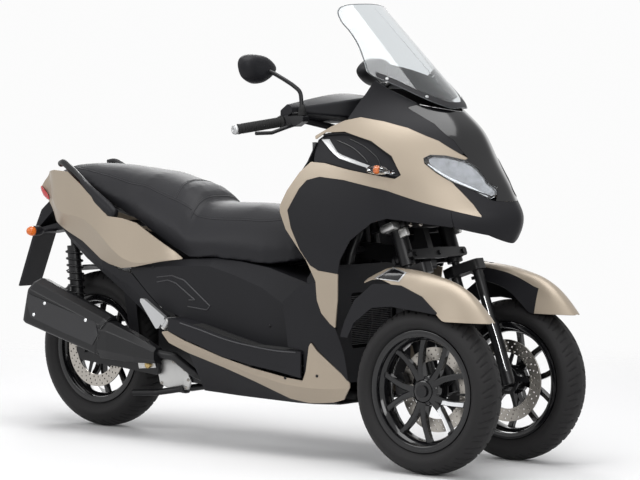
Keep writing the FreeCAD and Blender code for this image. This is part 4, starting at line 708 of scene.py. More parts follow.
def stitched(lines, name):
    rows = []
    for line in lines:
        mesh = bpy.data.meshes.new("row")
        mesh.from_pydata(line, [(k, k + 1) for k in range(len(line) - 1)], [])
        rows.append(through(added("row", mesh), stitching, "row", Spacing=0.0062, Thread=one_thread,
            Material=thread))
    return joined(rows, name)


rows = []
for line in seams:
    across = 0.0065
    if abs(line[0][0] - line[-1][0]) < 0.03:
        rows += [draped(seat_tree, [(x + d, y, z) for x, y, z in line], down, steps=10)
            for d in (-across, across)]
    else:
        rows += [draped(seat_tree, [(x, y - copysign(across, y), z) for x, y, z in line], down, steps=10)]
seat_stitches = stitched(rows, "seat_stitches")
bpy.data.objects.remove(one_thread)
settle(seat, "seat", "seat_cover", "seat_cushion")
settle(piping, "seat", "seat_cover")
settle(seat_stitches, "seat", "seat_cover")

# Headlamps: a moulded white reflector in facets behind each clear lens, with a light bar along the lower
# edge and a lacquered bezel round the rim. Reflector and bar follow the lens from inside.
STAND_OFF = 0.35


def divided(marks, cell):
    """A closed outline with points about every cell of its length."""
    marks = [Vector(mark) for mark in marks]
    line = []
    for mark, after in zip(marks, marks[1:] + marks[:1]):
        parts = max(1, round((after - mark).length / cell))
        line += [mark.lerp(after, k / parts) for k in range(parts)]
    return line


def patch(name, tree, marks, direction, material, lift, thick, cell=0.009):
    """A plate that follows the surface below a closed outline of marks, seen along a direction."""
    look = Vector(direction).normalized()
    side = look.orthogonal().normalized()
    up = look.cross(side)
    depth = sum(Vector(mark).dot(look) for mark in marks) / len(marks)
    rim = [Vector((mark.dot(side), mark.dot(up))) for mark in divided(marks, cell)]
    count = len(rim)
    inner = []
    low = Vector((min(p.x for p in rim), min(p.y for p in rim)))
    high = Vector((max(p.x for p in rim), max(p.y for p in rim)))
    for i in range(1, int((high.x - low.x) / cell) + 1):
        for j in range(1, int((high.y - low.y) / cell) + 1):
            spot = Vector((low.x + i * cell, low.y + j * cell))
            inside = False
            for a, b in zip(rim, rim[1:] + rim[:1]):
                crosses = (a.y > spot.y) != (b.y > spot.y)
                if crosses and spot.x < a.x + (spot.y - a.y) * (b.x - a.x) / (b.y - a.y):
                    inside = not inside
            if inside and min((spot - p).length for p in rim) > cell * 0.5:
                inner.append(spot)
    found = delaunay_2d_cdt(rim + inner, [(k, (k + 1) % count) for k in range(count)], [], 1, 1e-7)
    flat, triangles = found[0], found[2]
    found_at = []
    for spot in flat:
        base = side * spot.x + up * spot.y
        struck = tree(base) if callable(tree) else hit(tree, base + look * (depth - STAND_OFF), look)[0]
        at = None if struck is None else struck.dot(look)
        found_at.append(at if at is None or callable(tree) or abs(at - depth) <= 0.16 else None)
    known = [(spot, at) for spot, at in zip(flat, found_at) if at is not None]
    upper, lower = [], []
    for spot, at in zip(flat, found_at):
        if at is None:
            at = min(known, key=lambda pair: (pair[0] - spot).length)[1]
        base = side * spot.x + up * spot.y + look * at
        lower.append(base - look * lift)
        upper.append(base - look * (lift + thick))
    size = len(flat)
    faces = [tuple(t) for t in triangles] + [tuple(size + k for k in reversed(t)) for t in triangles]
    used = {}
    for t in triangles:
        for a, b in zip(t, t[1:] + t[:1]):
            key = (min(a, b), max(a, b))
            used[key] = used.get(key, 0) + 1
    faces += [(a, b, size + b, size + a) for (a, b), times in used.items() if times == 1]
    return sharp(flat_mesh(name, upper + lower, faces, material), 38)


def loop_on(tree, marks, direction, sink=0.0):
    """Points of a closed outline laid on a surface."""
    look = Vector(direction).normalized()
    return laid(tree, [mark - look * STAND_OFF for mark in divided(marks, 0.008)], look, sink=sink)


def shrunk(outline, share):
    """An (x, z) outline drawn in towards its middle."""
    mx = sum(x for x, _ in outline) / len(outline)
    mz = sum(z for _, z in outline) / len(outline)
    return [(mx + (x - mx) * share, mz + (z - mz) * share) for x, z in outline]


LAMP_OUTLINE = mm("791 984, 805 994, 843 992, 887 979, 920 957, 945 926, 956 910, 977 894, 984 871, 973 857, "
    "928 888, 875 913, 832 941, 797 969")
reflector_white = finish("lamp reflector", (0.46, 0.465, 0.48), 0.22, variation=0.9, patch=38, grain=90,
    depth=0.0003, Metallic=0.75)
light_bar = finish("light bar diffuser", (0.93, 0.95, 0.97), 0.25, variation=0.05, grain=200, depth=0.00002,
    Emission_Color=(0.95, 0.98, 1, 1), Emission_Strength=0.35)
silver_trim = finish("satin silver trim", (0.5, 0.505, 0.51), 0.3, variation=0.1, grain=900, depth=0.00002,
    Metallic=0.75)
lens_tree = solid_tree("headlamp_lenses")
for side, sign in SIDES:
    look = Vector((0, -sign, 0))
    outline = beside(sign * 0.12, shrunk(LAMP_OUTLINE, 0.92))
    bowl = patch(side + "_lamp_reflector", lens_tree, outline, look, reflector_white, lift=-0.014,
        thick=0.0016, cell=0.012)
    folds = []
    for x, z, x2, z2 in mm("835 985 850 930, 868 980 885 912, 902 965 918 896"):
        line = draped(lens_tree, [(x, sign * 0.12, z), ((x + x2) / 2 + 0.004, sign * 0.12, (z + z2) / 2),
            (x2, sign * 0.12, z2)], look, steps=6, sink=0.0125)
        folds.append(tube("fold", line, 0.0022, silver_trim, 8))
    bowl = joined([bowl] + folds, side + "_lamp_reflector")
    settle(bowl, "chassis", "lamp_reflector")
    strip = draped(lens_tree, mirrored(sign, "806 150 966, 838 150 944, 880 120 919, 930 100 893, "
        "968 80 870"), look, steps=8, sink=0.0085)
    settle(tube(side + "_light_bar", strip, 0.0036, light_bar, 10), "chassis", "clear_lens")
    rim = loop_on(lens_tree, beside(sign * 0.12, shrunk(LAMP_OUTLINE, 0.985)), look, sink=-0.0002)
    settle(tube(side + "_lamp_bezel", rim, 0.0021, lacquer, 8, closed=True), "chassis", "gloss_black")

# Vents: a lip along the recess's upper edge, a silver blade bent like a hockey stick, and two slats.
vent_tree = solid_tree("vent_insets")
BLADE = mm("438.1 1038.4, 469.9 1038.9, 512.7 998.4, 533.4 989.3, 636.4 956.6, 637.8 947.2, 524.8 978.1, "
    "498.7 993.4")
VENT_TOP = mm("444 1050, 486 1054.5, 527 1055.5, 575 1047, 626 1029, 664 1007, 698 982, 722 952, 731 934, "
    "722 925, 690 932")
for side, sign in SIDES:
    look = Vector((0, -sign, 0))
    blade = patch(side + "_vent_blade", vent_tree, beside(sign * 0.25, BLADE), look, silver_trim, lift=0.0,
        thick=0.0045, cell=0.006)
    settle(bevelled(blade, 0.0009), "chassis", "lamp_reflector")
    lip = draped(vent_tree, beside(sign * 0.25, VENT_TOP), look, steps=8, sink=-0.003)
    settle(tube(side + "_vent_lip", lip, 0.0042, moulded, 10), "chassis", "black_plastic")
    slats = []
    for marks in (mm("500 1035, 560 1014, 605 985, 625 966"), mm("545 1040, 600 1018, 648 985, 668 958")):
        line = draped(vent_tree, beside(sign * 0.25, marks), look, steps=8, sink=-0.001)
        slats.append(tube("slat", line, 0.002, lacquer, 8))
    settle(joined(slats, side + "_vent_slats"), "chassis", "black_plastic")

# Turn signals: clear teardrop lenses with an amber bulb inside, and black housings with amber windows on the
# rear stems.
amber = finish("amber lens", (0.62, 0.15, 0.02), 0.15, variation=0.1, grain=120, depth=0.00003,
    Transmission_Weight=0.25, Emission_Color=(1, 0.25, 0.03, 1), Emission_Strength=0.15)
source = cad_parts["indicators"]
build = bmesh.new()
build.from_mesh(source.data)
bmesh.ops.delete(build, geom=[v for v in build.verts if v.co.x < 0], context="VERTS")
lens_mesh = bpy.data.meshes.new("front_signal_lenses")
build.to_mesh(lens_mesh)
build.free()
lens_mesh.materials.clear()
lens_mesh.materials.append(clear_glass)
front_lenses = added("front_signal_lenses", lens_mesh)
bulbs, housings, windows = [], [], []
for sign in (-1, 1):
    bulb = turned("bulb", mm("0 -8, 4.5 -6.5, 7.2 -2, 7.2 3, 5 7.5, 0 9"), amber, 28)
    bulb.data.transform(Matrix.Translation((0.703, sign * 0.304, 0.9468)) @ Matrix.Rotation(pi / 2, 4, "X"))
    bulbs.append(bulb)
    # The housing is turned about the stem's line and ends in the amber window.
    shell = turned("shell", mm("0 0, 7 0, 11.5 6, 17.2 16, 18.3 20, 18.3 46, 17.6 50, 0 50"), moulded, 36)
    stem = turned("stem", mm("0 -67, 6 -67, 6.8 -61, 5.6 -56, 6.8 -51, 5.6 -46, 6.8 -40, 6 -34, 6 2, 0 2"),
        moulded, 24)
    window = turned("window", mm("0 50.2, 17.2 50.2, 16.8 59, 13 69, 8 74, 0 76.5"), amber, 36)
    for piece, held in ((shell, housings), (stem, housings), (window, windows)):
        piece.data.transform(Matrix.Translation((-0.928, sign * 0.128, 0.69))
            @ Matrix(((1, 0, 0, 0), (0, 0, sign, 0), (0, 1, 0, 0), (0, 0, 0, 1))))
        held.append(piece)
settle(joined(housings, "rear_signal_housings"), "chassis", "black_plastic")
settle(joined(windows, "rear_signal_windows"), "chassis", "clear_lens")
settle(joined(bulbs, "signal_bulbs"), "chassis", "clear_lens")
settle(front_lenses, "chassis", "clear_lens", "indicators")

# Windscreen trim: a black band along the foot of the screen, held by four screws, and a rib down the middle
# of the pane.
screw_copies = copying_tree("screws at points", {"Head": "Object", "Size": "Float"},
    {"outward": ("GeometryNodeInputNamedAttribute", {"data_type": "FLOAT_VECTOR", "Name": "outward"}),
    "facing": ("FunctionNodeAlignRotationToVector", {"axis": "Z"}), "head": "GeometryNodeObjectInfo"},
    "outward.Attribute > facing.Vector, given.Geometry > copies.Points, given.Head > head.Object, "
    "head.Geometry > copies.Instance, facing.Rotation > copies.Rotation, given.Size > copies.Scale")
# One screw of 10 mm across the head: a flange, a dome and a round socket.
screw_head = turned("screw_head", mm("0 -2, 4.8 -2, 5 0.4, 4.7 1, 4 2.2, 2.6 2.9, 2.2 2.9, 2.2 1.2, 0 1.2"),
    enamel, 18)


def screws(name, tree, marks, direction, size, material, slot):
    """Screws seated on a surface below the marks; size is the head's diameter over 10 mm."""
    look = Vector(direction).normalized()
    spots, outward = [], []
    for mark in marks:
        spot, normal = hit(tree, Vector(mark) - look * 0.3, look)
        if spot is not None:
            spots.append(tuple(spot + normal * 0.0004))
            outward.append(normal)
    mesh = bpy.data.meshes.new(name)
    mesh.from_pydata(spots, [], [])
    held = mesh.attributes.new("outward", "FLOAT_VECTOR", "POINT")
    for item, normal in zip(held.data, outward):
        item.vector = normal
    piece = through(added(name + "_row", mesh), screw_copies, name, Head=screw_head, Size=size,
        Material=material)
    return settle(sharp(piece, 35), "chassis", slot)


backward = Vector((-1, 0, 0))


def whole(half):
    """A closed (y, z) outline from its left half, which starts and ends on the middle."""
    return half + [(-y, z) for y, z in reversed(half[1:-1])]


def screen_face(place):
    """The bowed front face of the screen at a place's width and height."""
    return Vector((0.809 - 1.0725 * (place.z - 1.135) - 3.2 * place.y ** 2, place.y, place.z))


SCREEN_RIM = mm("0 1141.2, 40 1139.5, 64 1147.5, 102 1169.5, 150 1212.5, 183.5 1244, 174 1285, 158 1335, "
    "150 1380, 149.5 1418, 134 1454, 92 1472.5, 0 1477.5")
whole_rim = whole(smooth_path(SCREEN_RIM, 6))
pane = patch("screen_pane", screen_face, [(0.7, y, z) for y, z in whole_rim], backward, screen_glass,
    lift=-0.0036, thick=0.0036, cell=0.014)
settle(pane, "chassis", "clear_lens", "windscreen")
screen_tree = tree_of(pane)
smoked = finish("smoked screen edge", (0.05, 0.055, 0.06), 0.12, variation=0.1, grain=60, depth=0.00001)
rim_line = [screen_face(Vector((0, y * 0.9935, 1.31 + (z - 1.31) * 0.9935))) + Vector((-0.0016, 0, 0))
    for y, z in whole_rim]
settle(tube("screen_edge", rim_line, 0.0017, smoked, 8, closed=True), "chassis", "clear_lens")
SCREEN_BAND = mm("0 1144, 40 1142.5, 64 1150.5, 102 1172.5, 146 1213, 176 1238.5, 168 1255, 138 1230, "
    "98 1192, 60 1171, 34 1161, 0 1160")
band = patch("screen_band", screen_tree, [(0.74, y, z) for y, z in whole(SCREEN_BAND)], backward, moulded,
    lift=0.0001, thick=0.0012)
settle(band, "chassis", "black_plastic")
screws("screen_screws", screen_tree, [(0.74, y, z) for y, z in mm("-156 1232, -92 1176, 92 1176, 156 1232")],
    backward, 1.15, silver_trim, "lamp_reflector")
COWL_BEHIND = mm("0 1166, 60 1176, 104 1204, 148 1236, 122 1280, 66 1262, 0 1236")
settle(patch("screen_moulding", screen_tree, [(0.74, y, z) for y, z in whole(COWL_BEHIND)], backward, moulded,
    lift=-0.0095, thick=0.003, cell=0.012), "chassis", "black_plastic")
rib = draped(screen_tree, mm("740 0 1165, 700 0 1260, 600 0 1360, 450 0 1462"), backward, steps=8,
    sink=0.0006)
settle(tube("screen_rib", rib, 0.0014, clear_glass, 8), "chassis", "clear_lens")

# Cockpit: moulded rubber grips with rings and a flange, turned bar ends, switch boxes with their buttons,
# and two fluid reservoirs on the bar. All of it turns with the bar.
GRIP_IN, GRIP_OUT = Vector((0.26, 0.235, 1.091)), Vector((0.2, 0.387, 1.066))


def along_line(piece, start, end):
    """Stands a piece made along Z from the origin on a line."""
    turnit = (end - start).to_track_quat("Z", "Y").to_matrix().to_4x4()
    piece.data.transform(Matrix.Translation(start) @ turnit)
    return piece


def boxed(name, centre, size, material, soft=0.004, spin=None):
    """A box with softened edges, for switch boxes, clamps and lugs."""
    x, y, z = (value / 2 for value in size)
    ring = [(-x, -y), (x, -y), (x, y), (-x, y)]
    piece = lofted(name, [[(a * 0.86, b * 0.86, -z) for a, b in ring], [(a, b, -z * 0.5) for a, b in ring],
        [(a, b, z * 0.6) for a, b in ring], [(a * 0.82, b * 0.82, z) for a, b in ring]], material)
    piece = bevelled(piece, soft, segments=3, angle=25)
    piece.data.transform(Matrix.Translation(centre) @ (spin.to_4x4() if spin else Matrix()))
    return piece


grips, ends, boxes, buttons, caps = [], [], [], [], []
grip_span = (GRIP_OUT - GRIP_IN).length
for sign in (-1, 1):
    start = Vector((GRIP_IN.x, sign * GRIP_IN.y, GRIP_IN.z))
    end = Vector((GRIP_OUT.x, sign * GRIP_OUT.y, GRIP_OUT.z))
    profile = mm("12.2 0, 20.5 0, 21.2 1.5, 20.5 4.2, 16.8 6")
    for ring in range(17):
        home = 0.012 + ring * 0.0081
        profile += [(0.0158, home), (0.0167, home + 0.0012), (0.0167, home + 0.0052), (0.0158, home + 0.0064)]
    profile += [(0.0166, grip_span - 0.008), (0.0172, grip_span - 0.004), (0.016, grip_span),
        (0.0122, grip_span)]
    grips.append(along_line(turned("grip", profile, rubber, 40), start, end))
    bar_end = turned("bar_end", mm("0 0, 12 0, 15.8 1.5, 16.2 6, 14 13, 6 14.2, 5 12, 0 12"), silver_trim, 36)
    away = (end - start).normalized()
    ends.append(along_line(bar_end, end + away * 0.0004, end + away))
    facing = (end - start).to_track_quat("Z", "Y").to_matrix()
    middle = start - away * 0.021
    boxes.append(boxed("switch_box", middle, (0.044, 0.042, 0.036), moulded, 0.006, facing))
    bright = amber if sign > 0 else red_glass
    for dx, dy, tone in ((-0.006, 0.004, lacquer), (0.007, 0.006, bright), (0.0, -0.01, lacquer)):
        buttons.append(boxed("button", middle + Vector((-0.0215, sign * dx, 0.006 + dy)),
            (0.004, 0.008, 0.007), tone, 0.001))
    cap = turned("cap", mm("0 -12, 17 -12, 19 -9, 19 9, 20.5 10.5, 20.5 15, 19 17, 0 17"), enamel, 40)
    cap.data.transform(Matrix.Translation(middle + Vector((0.036, -sign * 0.006, 0.012))))
    caps.append(cap)
settle(joined(grips, "hand_grips"), "handlebar_body", "rubber_grip", "grips")
settle(joined(ends, "bar_ends"), "handlebar_body", "lamp_reflector")
settle(joined(boxes + caps, "switch_boxes"), "handlebar_body", "black_plastic")
settle(joined(buttons, "switch_buttons"), "handlebar_body", "black_plastic")

# Meter: a glossy dial behind a flat glass, with a thin bezel, facing the rider.
meter_tree = solid_tree("meter")
forward = Vector((1, 0, -0.35))
dial = [(0.54, y, z) for y, z in mm("-86 1136, 86 1136, 92 1160, 80 1190, -80 1190, -92 1160")]
dial_black = finish("meter glass", (0.004, 0.005, 0.007), 0.06, variation=0.2, grain=40, depth=0.000005,
    spread=0.02, Coat_Weight=0.8, Coat_Roughness=0.03)
settle(patch("meter_face", meter_tree, dial, forward, dial_black, lift=0.0002, thick=0.0016), "chassis",
    "gloss_black")
settle(tube("meter_bezel", loop_on(meter_tree, dial, forward, sink=-0.001), 0.0018, silver_trim, 8,
    closed=True), "chassis", "lamp_reflector")

# Tail: bases that widen the rails into the body, a red centre lens with three ribs, and red lamp wings on the
# panels' rear edges.
rail_bases = []
for sign in (-1, 1):
    rings = []
    for x, y, z, wide, high in mm("-700 164 868 12.5 12.5, -650 174.5 838 16 17, -600 183 808 18 21, "
            "-555 189 782 18 23, -522 192.5 764 16 19, -512 193.5 759 12 12"):
        rings.append([(x + high * 0.45 * sin(a), sign * (y + wide * cos(a)), z + high * sin(a))
            for a in (2 * pi * k / 16 for k in range(16))])
    rail_bases.append(lofted("rail_base", rings, moulded, smooth=True))
settle(joined(rail_bases, "rail_bases"), "chassis", "black_plastic")
lamp_tree = solid_tree("tail_lamp")
ahead = Vector((1, 0, 0))
lens_marks = [(-0.97, y, z) for y, z in mm("-72 808, 72 808, 74 858, -74 858")]
settle(patch("tail_lens_centre", lamp_tree, lens_marks, ahead, red_glass, lift=0.0003, thick=0.003,
    cell=0.012), "chassis", "red_lens")
bars = []
for z in (0.818, 0.833, 0.848):
    line = draped(lamp_tree, [(-0.97, -0.066, z), (-0.97, 0, z), (-0.97, 0.066, z)], ahead, steps=12,
        sink=-0.0036)
    bars.append(tube("bar", line, 0.0022, red_glass, 8))
settle(joined(bars, "tail_lens_ribs"), "chassis", "red_lens")
wings = []
for sign in (-1, 1):
    rings = []
    for x, y, z, high in mm("-969 86 844 4, -967.5 87 836 10, -956 88 824 13, -944 89.5 816 12, "
            "-933 90.5 808 9, -927 91.5 804 4"):
        rings.append([(x - 0.0035 + high * 0.55 * cos(a), sign * (y + 0.003 + 0.0025 * sin(a)),
            z + high * sin(a)) for a in (2 * pi * k / 12 for k in range(12))])
    wings.append(lofted("wing", rings, red_glass, smooth=True))
settle(joined(wings, "tail_lamp_wings"), "chassis", "red_lens")

# Rear shocks: a coil spring of enamelled wire round each damper.
chrome = finish("bright chrome", (0.8, 0.81, 0.82), 0.07, variation=0.06, grain=60, depth=0.000004,
    spread=0.03, Metallic=1.0)
springs = []
for sign in (-1, 1):
    top, foot = Vector((-0.8, sign * 0.108, 0.69)), Vector((-0.765, sign * 0.108, 0.374))
    axis = (foot - top).normalized()
    side = axis.cross(Vector((0, 1, 0))).normalized()
    out = side.cross(axis)
    path = []
    coils, steps = 8, 160
    for k in range(steps + 1):
        share = k / steps
        angle = 2 * pi * coils * share
        path.append(top + axis * (0.054 + 0.19 * share) + (side * cos(angle) + out * sin(angle)) * 0.0272)
    springs.append(tube("spring", path, 0.0038, enamel, 8))
settle(joined(springs, "shock_springs"), "chassis", "black_metal")

# Silencer: a satin side plate held by screws, and a dark seam where the cover starts.
muffler_tree = solid_tree("muffler")
inward = Vector((0, 1, 0))
plate_marks = mm("-862 -250 474, -700 -250 432, -548 -250 392, -534 -250 352, -566 -250 312, -720 -250 352, "
    "-858 -250 392, -872 -250 430")
satin_cover = finish("satin black cover", (0.016, 0.016, 0.018), 0.3, variation=0.3, grain=700, depth=0.00004,
    Specular_IOR_Level=0.45)
cover = patch("silencer_plate", muffler_tree, plate_marks, inward, satin_cover, lift=0.0002, thick=0.0022,
    cell=0.02)
settle(cover, "chassis", "black_metal")
screws("silencer_screws", tree_of(cover), mm("-785 -250 445, -592 -250 397, -842 -250 402"), inward, 1.3,
    chrome, "black_metal")
seam_ring = []
for k in range(48):
    angle = 2 * pi * k / 48
    middle = Vector((-0.5335, -0.19, 0.345))
    radial = Vector((0.285 * sin(angle), cos(angle), 0.959 * sin(angle)))
    spot, normal = hit(muffler_tree, middle + radial * 0.2, -radial)
    if spot is not None:
        seam_ring.append(spot - normal * 0.0006)
settle(tube("silencer_seam", seam_ring, 0.0024, lacquer, 8, closed=True), "chassis", "gloss_black")

# Spine cover and foot boards: a raised outline moulded into each flank of the cover, ribbed mats on the
# boards, and rim lines along the boards' edges. Outlines and rim lines are in a lighter black: a painted
# highlight where light catches their edges.
# A lighter black than the mouldings, for painted highlights along raised edges.
highlighted = finish("rubbed black edge", (0.04, 0.04, 0.044), 0.36, variation=0.3, grain=900, depth=0.00005,
    Specular_IOR_Level=0.45)
tunnel_tree = solid_tree("tunnel")
boards_tree = solid_tree("footboards")
for side, sign in SIDES:
    look = Vector((0, -sign, 0))
    lines = []
    for marks in (mm("-315.7 557.2, -246.1 565.7, -191.6 553.2, -77.8 471.5, -90.7 457.4, -186.4 465.7"),
            mm("-315.5 540.1, -264.4 549.6, -227.6 541.3, -143 488.2, -173.5 486.6")):
        starts = [(x + (x2 - x) * k / 8, sign * 0.5, z + (z2 - z) * k / 8)
            for (x, z), (x2, z2) in zip(marks, marks[1:]) for k in range(8)]
        lines.append(tube("outline", laid(tunnel_tree, starts, look, sink=-0.0004), 0.0021, highlighted, 8))
    settle(joined(lines, side + "_cover_outline"), "chassis", "black_plastic")
    ribs = []
    for k in range(9):
        y = sign * (0.204 + 0.0062 * k)
        line = draped(boards_tree, [(0.3, y, 0.5), (0.12, y, 0.5), (-0.1, y, 0.5)], down, steps=10,
            sink=-0.0002)
        if len(line) > 3:
            ribs.append(tube("rib", line, 0.0013, rubber, 6))
    settle(joined(ribs, side + "_board_mat"), "chassis", "rubber_grip")
    edge = draped(boards_tree, mm("-150.8 0 414.5, -61.6 0 396.5, 70.1 0 368.3, 241.8 0 350, 350 0 348.8"),
        look, steps=8, sink=0.0)
    settle(tube(side + "_board_rim", edge, 0.0022, highlighted, 8), "chassis", "black_plastic")

# Mudguards: moulded sand shells over the front wheels, crowned, with a rounded nose cut level at its foot,
# and a black inner cheek towards the fork. Each rides on its fork. On the outer shoulder a black plate
# without lettering stands in a silver frame.
crown = smooth_path(mm("655 612, 690 629, 726 640, 825 633, 902 618.7, 967 600, 1017 573.5, 1055 542, "
    "1086 509, 1103.5 488.5"), 6)
fall = mm("600 12, 683 22, 777 52, 855 63, 894 77, 921 94, 952 113, 980 120, 1200 120")
columns, roundness, foot_level = 24, 2.4, 0.4865
cheek_columns, cheek_front = 5, 0.975
for side, sign in SIDES:
    spots = []
    for x, top in crown:
        below = next(a for a in reversed(fall) if a[0] <= x)
        above = next(a for a in fall if a[0] > x)
        drop = below[1] + (above[1] - below[1]) * (x - below[0]) / (above[0] - below[0])
        share = min(1.0, max(0.0, top - foot_level) / drop) ** (1 / roundness)
        for k in range(columns + 1):
            across = (2 * k / columns - 1) * share
            wide = 0.0642 if across > 0 else 0.061
            spots.append(Vector((x, sign * (0.235 + across * wide), top - drop * abs(across) ** roundness)))
    shells = {"": [], "_cheek": []}
    for row in range(len(crown) - 1):
        for k in range(columns):
            a = row * (columns + 1) + k
            cheek = k < cheek_columns and crown[row][0] < cheek_front
            shells["_cheek" if cheek else ""].append((a, a + 1, a + columns + 2, a + columns + 1))
    for part, faces in shells.items():
        shell = flat_mesh(side + "_mudguard" + part + "_raw", spots, faces, moulded if part else sand)
        loose = bmesh.new()
        loose.from_mesh(shell.data)
        bmesh.ops.delete(loose, geom=[v for v in loose.verts if not v.link_faces], context="VERTS")
        if sum(f.normal.z for f in loose.faces) < 0:
            bmesh.ops.reverse_faces(loose, faces=loose.faces)
        loose.to_mesh(shell.data)
        loose.free()
        thick = shell.modifiers.new("wall", "SOLIDIFY")
        thick.thickness, thick.offset = 0.003, -1.0
        shell = baked(shell, side + "_mudguard" + part)
        sharp(shell, 40, smooth=True)
        if part:
            settle(shell, "fork_" + side, "black_plastic")
        else:
            guard = settle(shell, "fork_" + side, "beige_paint", "fender_" + side)
    guard_tree = tree_of(guard)
    look = Vector((-0.625, -sign * 0.779, -0.052))
    around = mm("670 605, 748 644, 802 630, 770 599")
    outer_plate = patch(side + "_guard_frame", guard_tree, beside(sign * 0.272, around), look, silver_trim,
        lift=0.0002, thick=0.0016, cell=0.006)
    settle(outer_plate, "fork_" + side, "lamp_reflector")
    inner_plate = patch(side + "_guard_plate", guard_tree, beside(sign * 0.272, shrunk(around, 0.82)), look,
        lacquer, lift=0.0019, thick=0.0008, cell=0.006)
    settle(inner_plate, "fork_" + side, "gloss_black")

# Engine: a pale cast cover on each side of the black crankcase, with its screws, a bracket on the swing
# arm and an oil filler cap in brass tone. The passenger pegs are satin silver.
brass = finish("brass cap", (0.52, 0.38, 0.16), 0.34, variation=0.15, grain=500, depth=0.00004, Metallic=0.9)
engine_tree = solid_tree("engine")
for side, sign in SIDES:
    look = Vector((0, -sign, 0))
    around = mm("-400 262, -330 268, -272 240, -250 200, -262 168, -330 160, -392 178, -404 220")
    case = patch(side + "_engine_case", engine_tree, beside(sign * 0.084, around), look, cast, lift=0.0002,
        thick=0.009, cell=0.03)
    case = settle(bevelled(case, 0.003, segments=3, angle=45), "chassis", "bare_aluminium")
    case_tree = tree_of(case)
    screws(side + "_engine_screws", case_tree, beside(sign * 0.084, shrunk(around, 0.86)), look, 1.1,
        ground_steel, "bare_aluminium")
arm_tree = solid_tree("swing_arm")
lug = patch("arm_bracket", arm_tree, mm("-478 -112 262, -398 -112 262, -390 -112 236, -470 -112 228"), inward,
    cast, lift=0.0002, thick=0.005, cell=0.03)
settle(bevelled(lug, 0.002, segments=3, angle=45), "chassis", "bare_aluminium")
filler = turned("filler_cap", mm("0 0, 11 0, 12.5 2, 12.5 8, 10.5 11, 0 11.5"), brass, 20)
filler.data.transform(Matrix.Translation((-0.4221, -0.1175, 0.245)) @ Matrix.Rotation(pi / 2, 4, "X"))
settle(filler, "chassis", "bare_aluminium")
dress(silver_trim, "peg_left peg_right")

# Radiator behind the window in the wheel wall: rows of thin fins between two tanks. One fin is repeated
# downwards by a node tree.
copies_row = copying_tree("copies in a row", {"Count": "Int", "Step": "Vector"},
    {"spots": "GeometryNodeMeshLine"}, "given.Count > spots.Count, given.Step > spots.Offset, "
    "spots.Mesh > copies.Points, given.Geometry > copies.Instance")
fin_metal = finish("radiator fin metal", (0.1, 0.1, 0.105), 0.45, variation=0.3, grain=700, depth=0.00008,
    Metallic=0.6)
fin = lofted("fin", [[(0.44, y, 0.368), (0.452, y, 0.3705), (0.452, y, 0.3717), (0.44, y, 0.3692)]
    for y in (-0.108, 0.108)], fin_metal)
fins = through(fin, copies_row, "radiator_fins", Count=27, Step=(0, 0, 0.006), Material=fin_metal)
tanks = [boxed("tank", (0.444, sign * 0.1145, 0.45), (0.02, 0.012, 0.186), enamel, 0.003) for sign in (-1, 1)]
settle(joined([fins] + tanks, "radiator"), "chassis", "black_metal")

# Steering and brakes: pale clamps on the leaning side tubes and a bright brake pipe clipped to each fork.
for side, sign in SIDES:
    lean = Matrix.Rotation(radians(-20), 3, "Y")
    clamp = boxed("clamp", (0.648, sign * 0.15, 0.76), (0.056, 0.06, 0.026), cast, 0.005, lean)
    ear = boxed("ear", (0.69, sign * 0.142, 0.746), (0.034, 0.016, 0.03), cast, 0.004, lean)
    settle(joined([clamp, ear], side + "_tube_clamp"), "chassis", "bare_aluminium")
    pipe = mirrored(sign, "809 132.5 538, 813.5 131.8 529.6, 833.7 131.8 475.7, 867.8 130 393.9, "
        "896.5 130 315.1, 902 133 300")
    settle(tube(side + "_brake_pipe", smooth_path(pipe, 6), 0.0024, chrome, 8), "fork_" + side,
        "lamp_reflector")

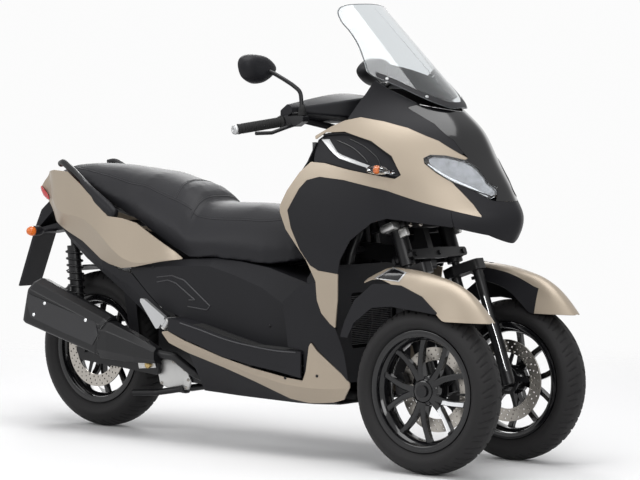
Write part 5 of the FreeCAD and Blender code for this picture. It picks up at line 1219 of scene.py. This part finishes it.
# Fasteners of the panels: dome-headed screws in the places that the photograph shows, and bolts on the
# ends of the leaning links.
links_tree = solid_tree("lean_links")
screws("link_bolts", links_tree, [(0.7, y, z) for y in (-0.117, -0.063, 0.063, 0.117)
    for z in (0.77, 0.66, 0.56)], Vector((-1, 0, 0)), 1.7, ground_steel, "bare_aluminium")
skirt_tree = solid_tree("skirts")
for side, sign in SIDES:
    look = Vector((0, -sign, 0))
    screws(side + "_skirt_screws", skirt_tree, [(0.43, sign * 0.25, 0.2776), (0.3, sign * 0.25, 0.262)], look,
        1.0, enamel, "black_metal")
    screws(side + "_cover_screws", tunnel_tree, [(-0.335, sign * 0.2, 0.59), (0.18, sign * 0.2, 0.42)], look,
        1.0, enamel, "black_metal")

# Mirrors: bowed black shells on round arms with rubber boots, and glasses set in from the shells' rims.
MIRROR_EDGE = mm("390 1272, 378 1297, 336 1308, 272 1300, 228 1266, 254 1233, 312 1213, 370 1233")
steps = 6
mirror_rim = smooth_path(MIRROR_EDGE[-1:] + MIRROR_EDGE + MIRROR_EDGE[:2], steps)[steps:-steps - 1]


def mirror_curve(sign, x, share):
    """The mirror's outline at a place along the vehicle, drawn in to a share of its size."""
    return [(x, sign * (0.308 + (y - 0.308) * share), 1.262 + (z - 1.262) * share) for y, z in mirror_rim]


shells, arms, boots, glasses = [], [], [], []
for sign in (-1, 1):
    shells.append(lofted("shell", [mirror_curve(sign, *row) for row in ((0.2045, 0.95), (0.2022, 0.985),
        (0.204, 1.0), (0.215, 1.0), (0.23, 0.95), (0.24, 0.84), (0.2455, 0.66), (0.2465, 0.4))], moulded,
        smooth=True))
    glasses.append(lofted("glass", [mirror_curve(sign, *row) for row in ((0.2044, 0.93), (0.2026, 0.93),
        (0.202, 0.915), (0.2018, 0.6))], mirror_face, smooth=True))
    route = smooth_path(mirrored(sign, "338 226 1112, 336 227.5 1150, 332 230 1186, 318 243 1206, "
        "296 258 1224, 262 270 1244, 236 280 1258"), 6)
    arms.append(tube("arm", route, 0.0068, enamel, 14))
    foot = turned("foot", mm("0 0, 13.5 0, 14.5 3, 12 12, 13 15, 10.8 24, 9.2 34, 0 34"), rubber, 24)
    foot.data.transform(Matrix.Translation((0.338, sign * 0.226, 1.1125)))
    boots.append(foot)
for piece in shells + glasses:
    sharp(piece, 48)
settle(joined(shells + arms, "mirror_shells"), "handlebar_body", "black_plastic", "mirrors")
settle(joined(boots, "mirror_boots"), "handlebar_body", "rubber_grip")
settle(joined(glasses, "mirror_faces"), "handlebar_body", "mirror_glass", "mirror_glasses")

bpy.data.objects.remove(screw_head)
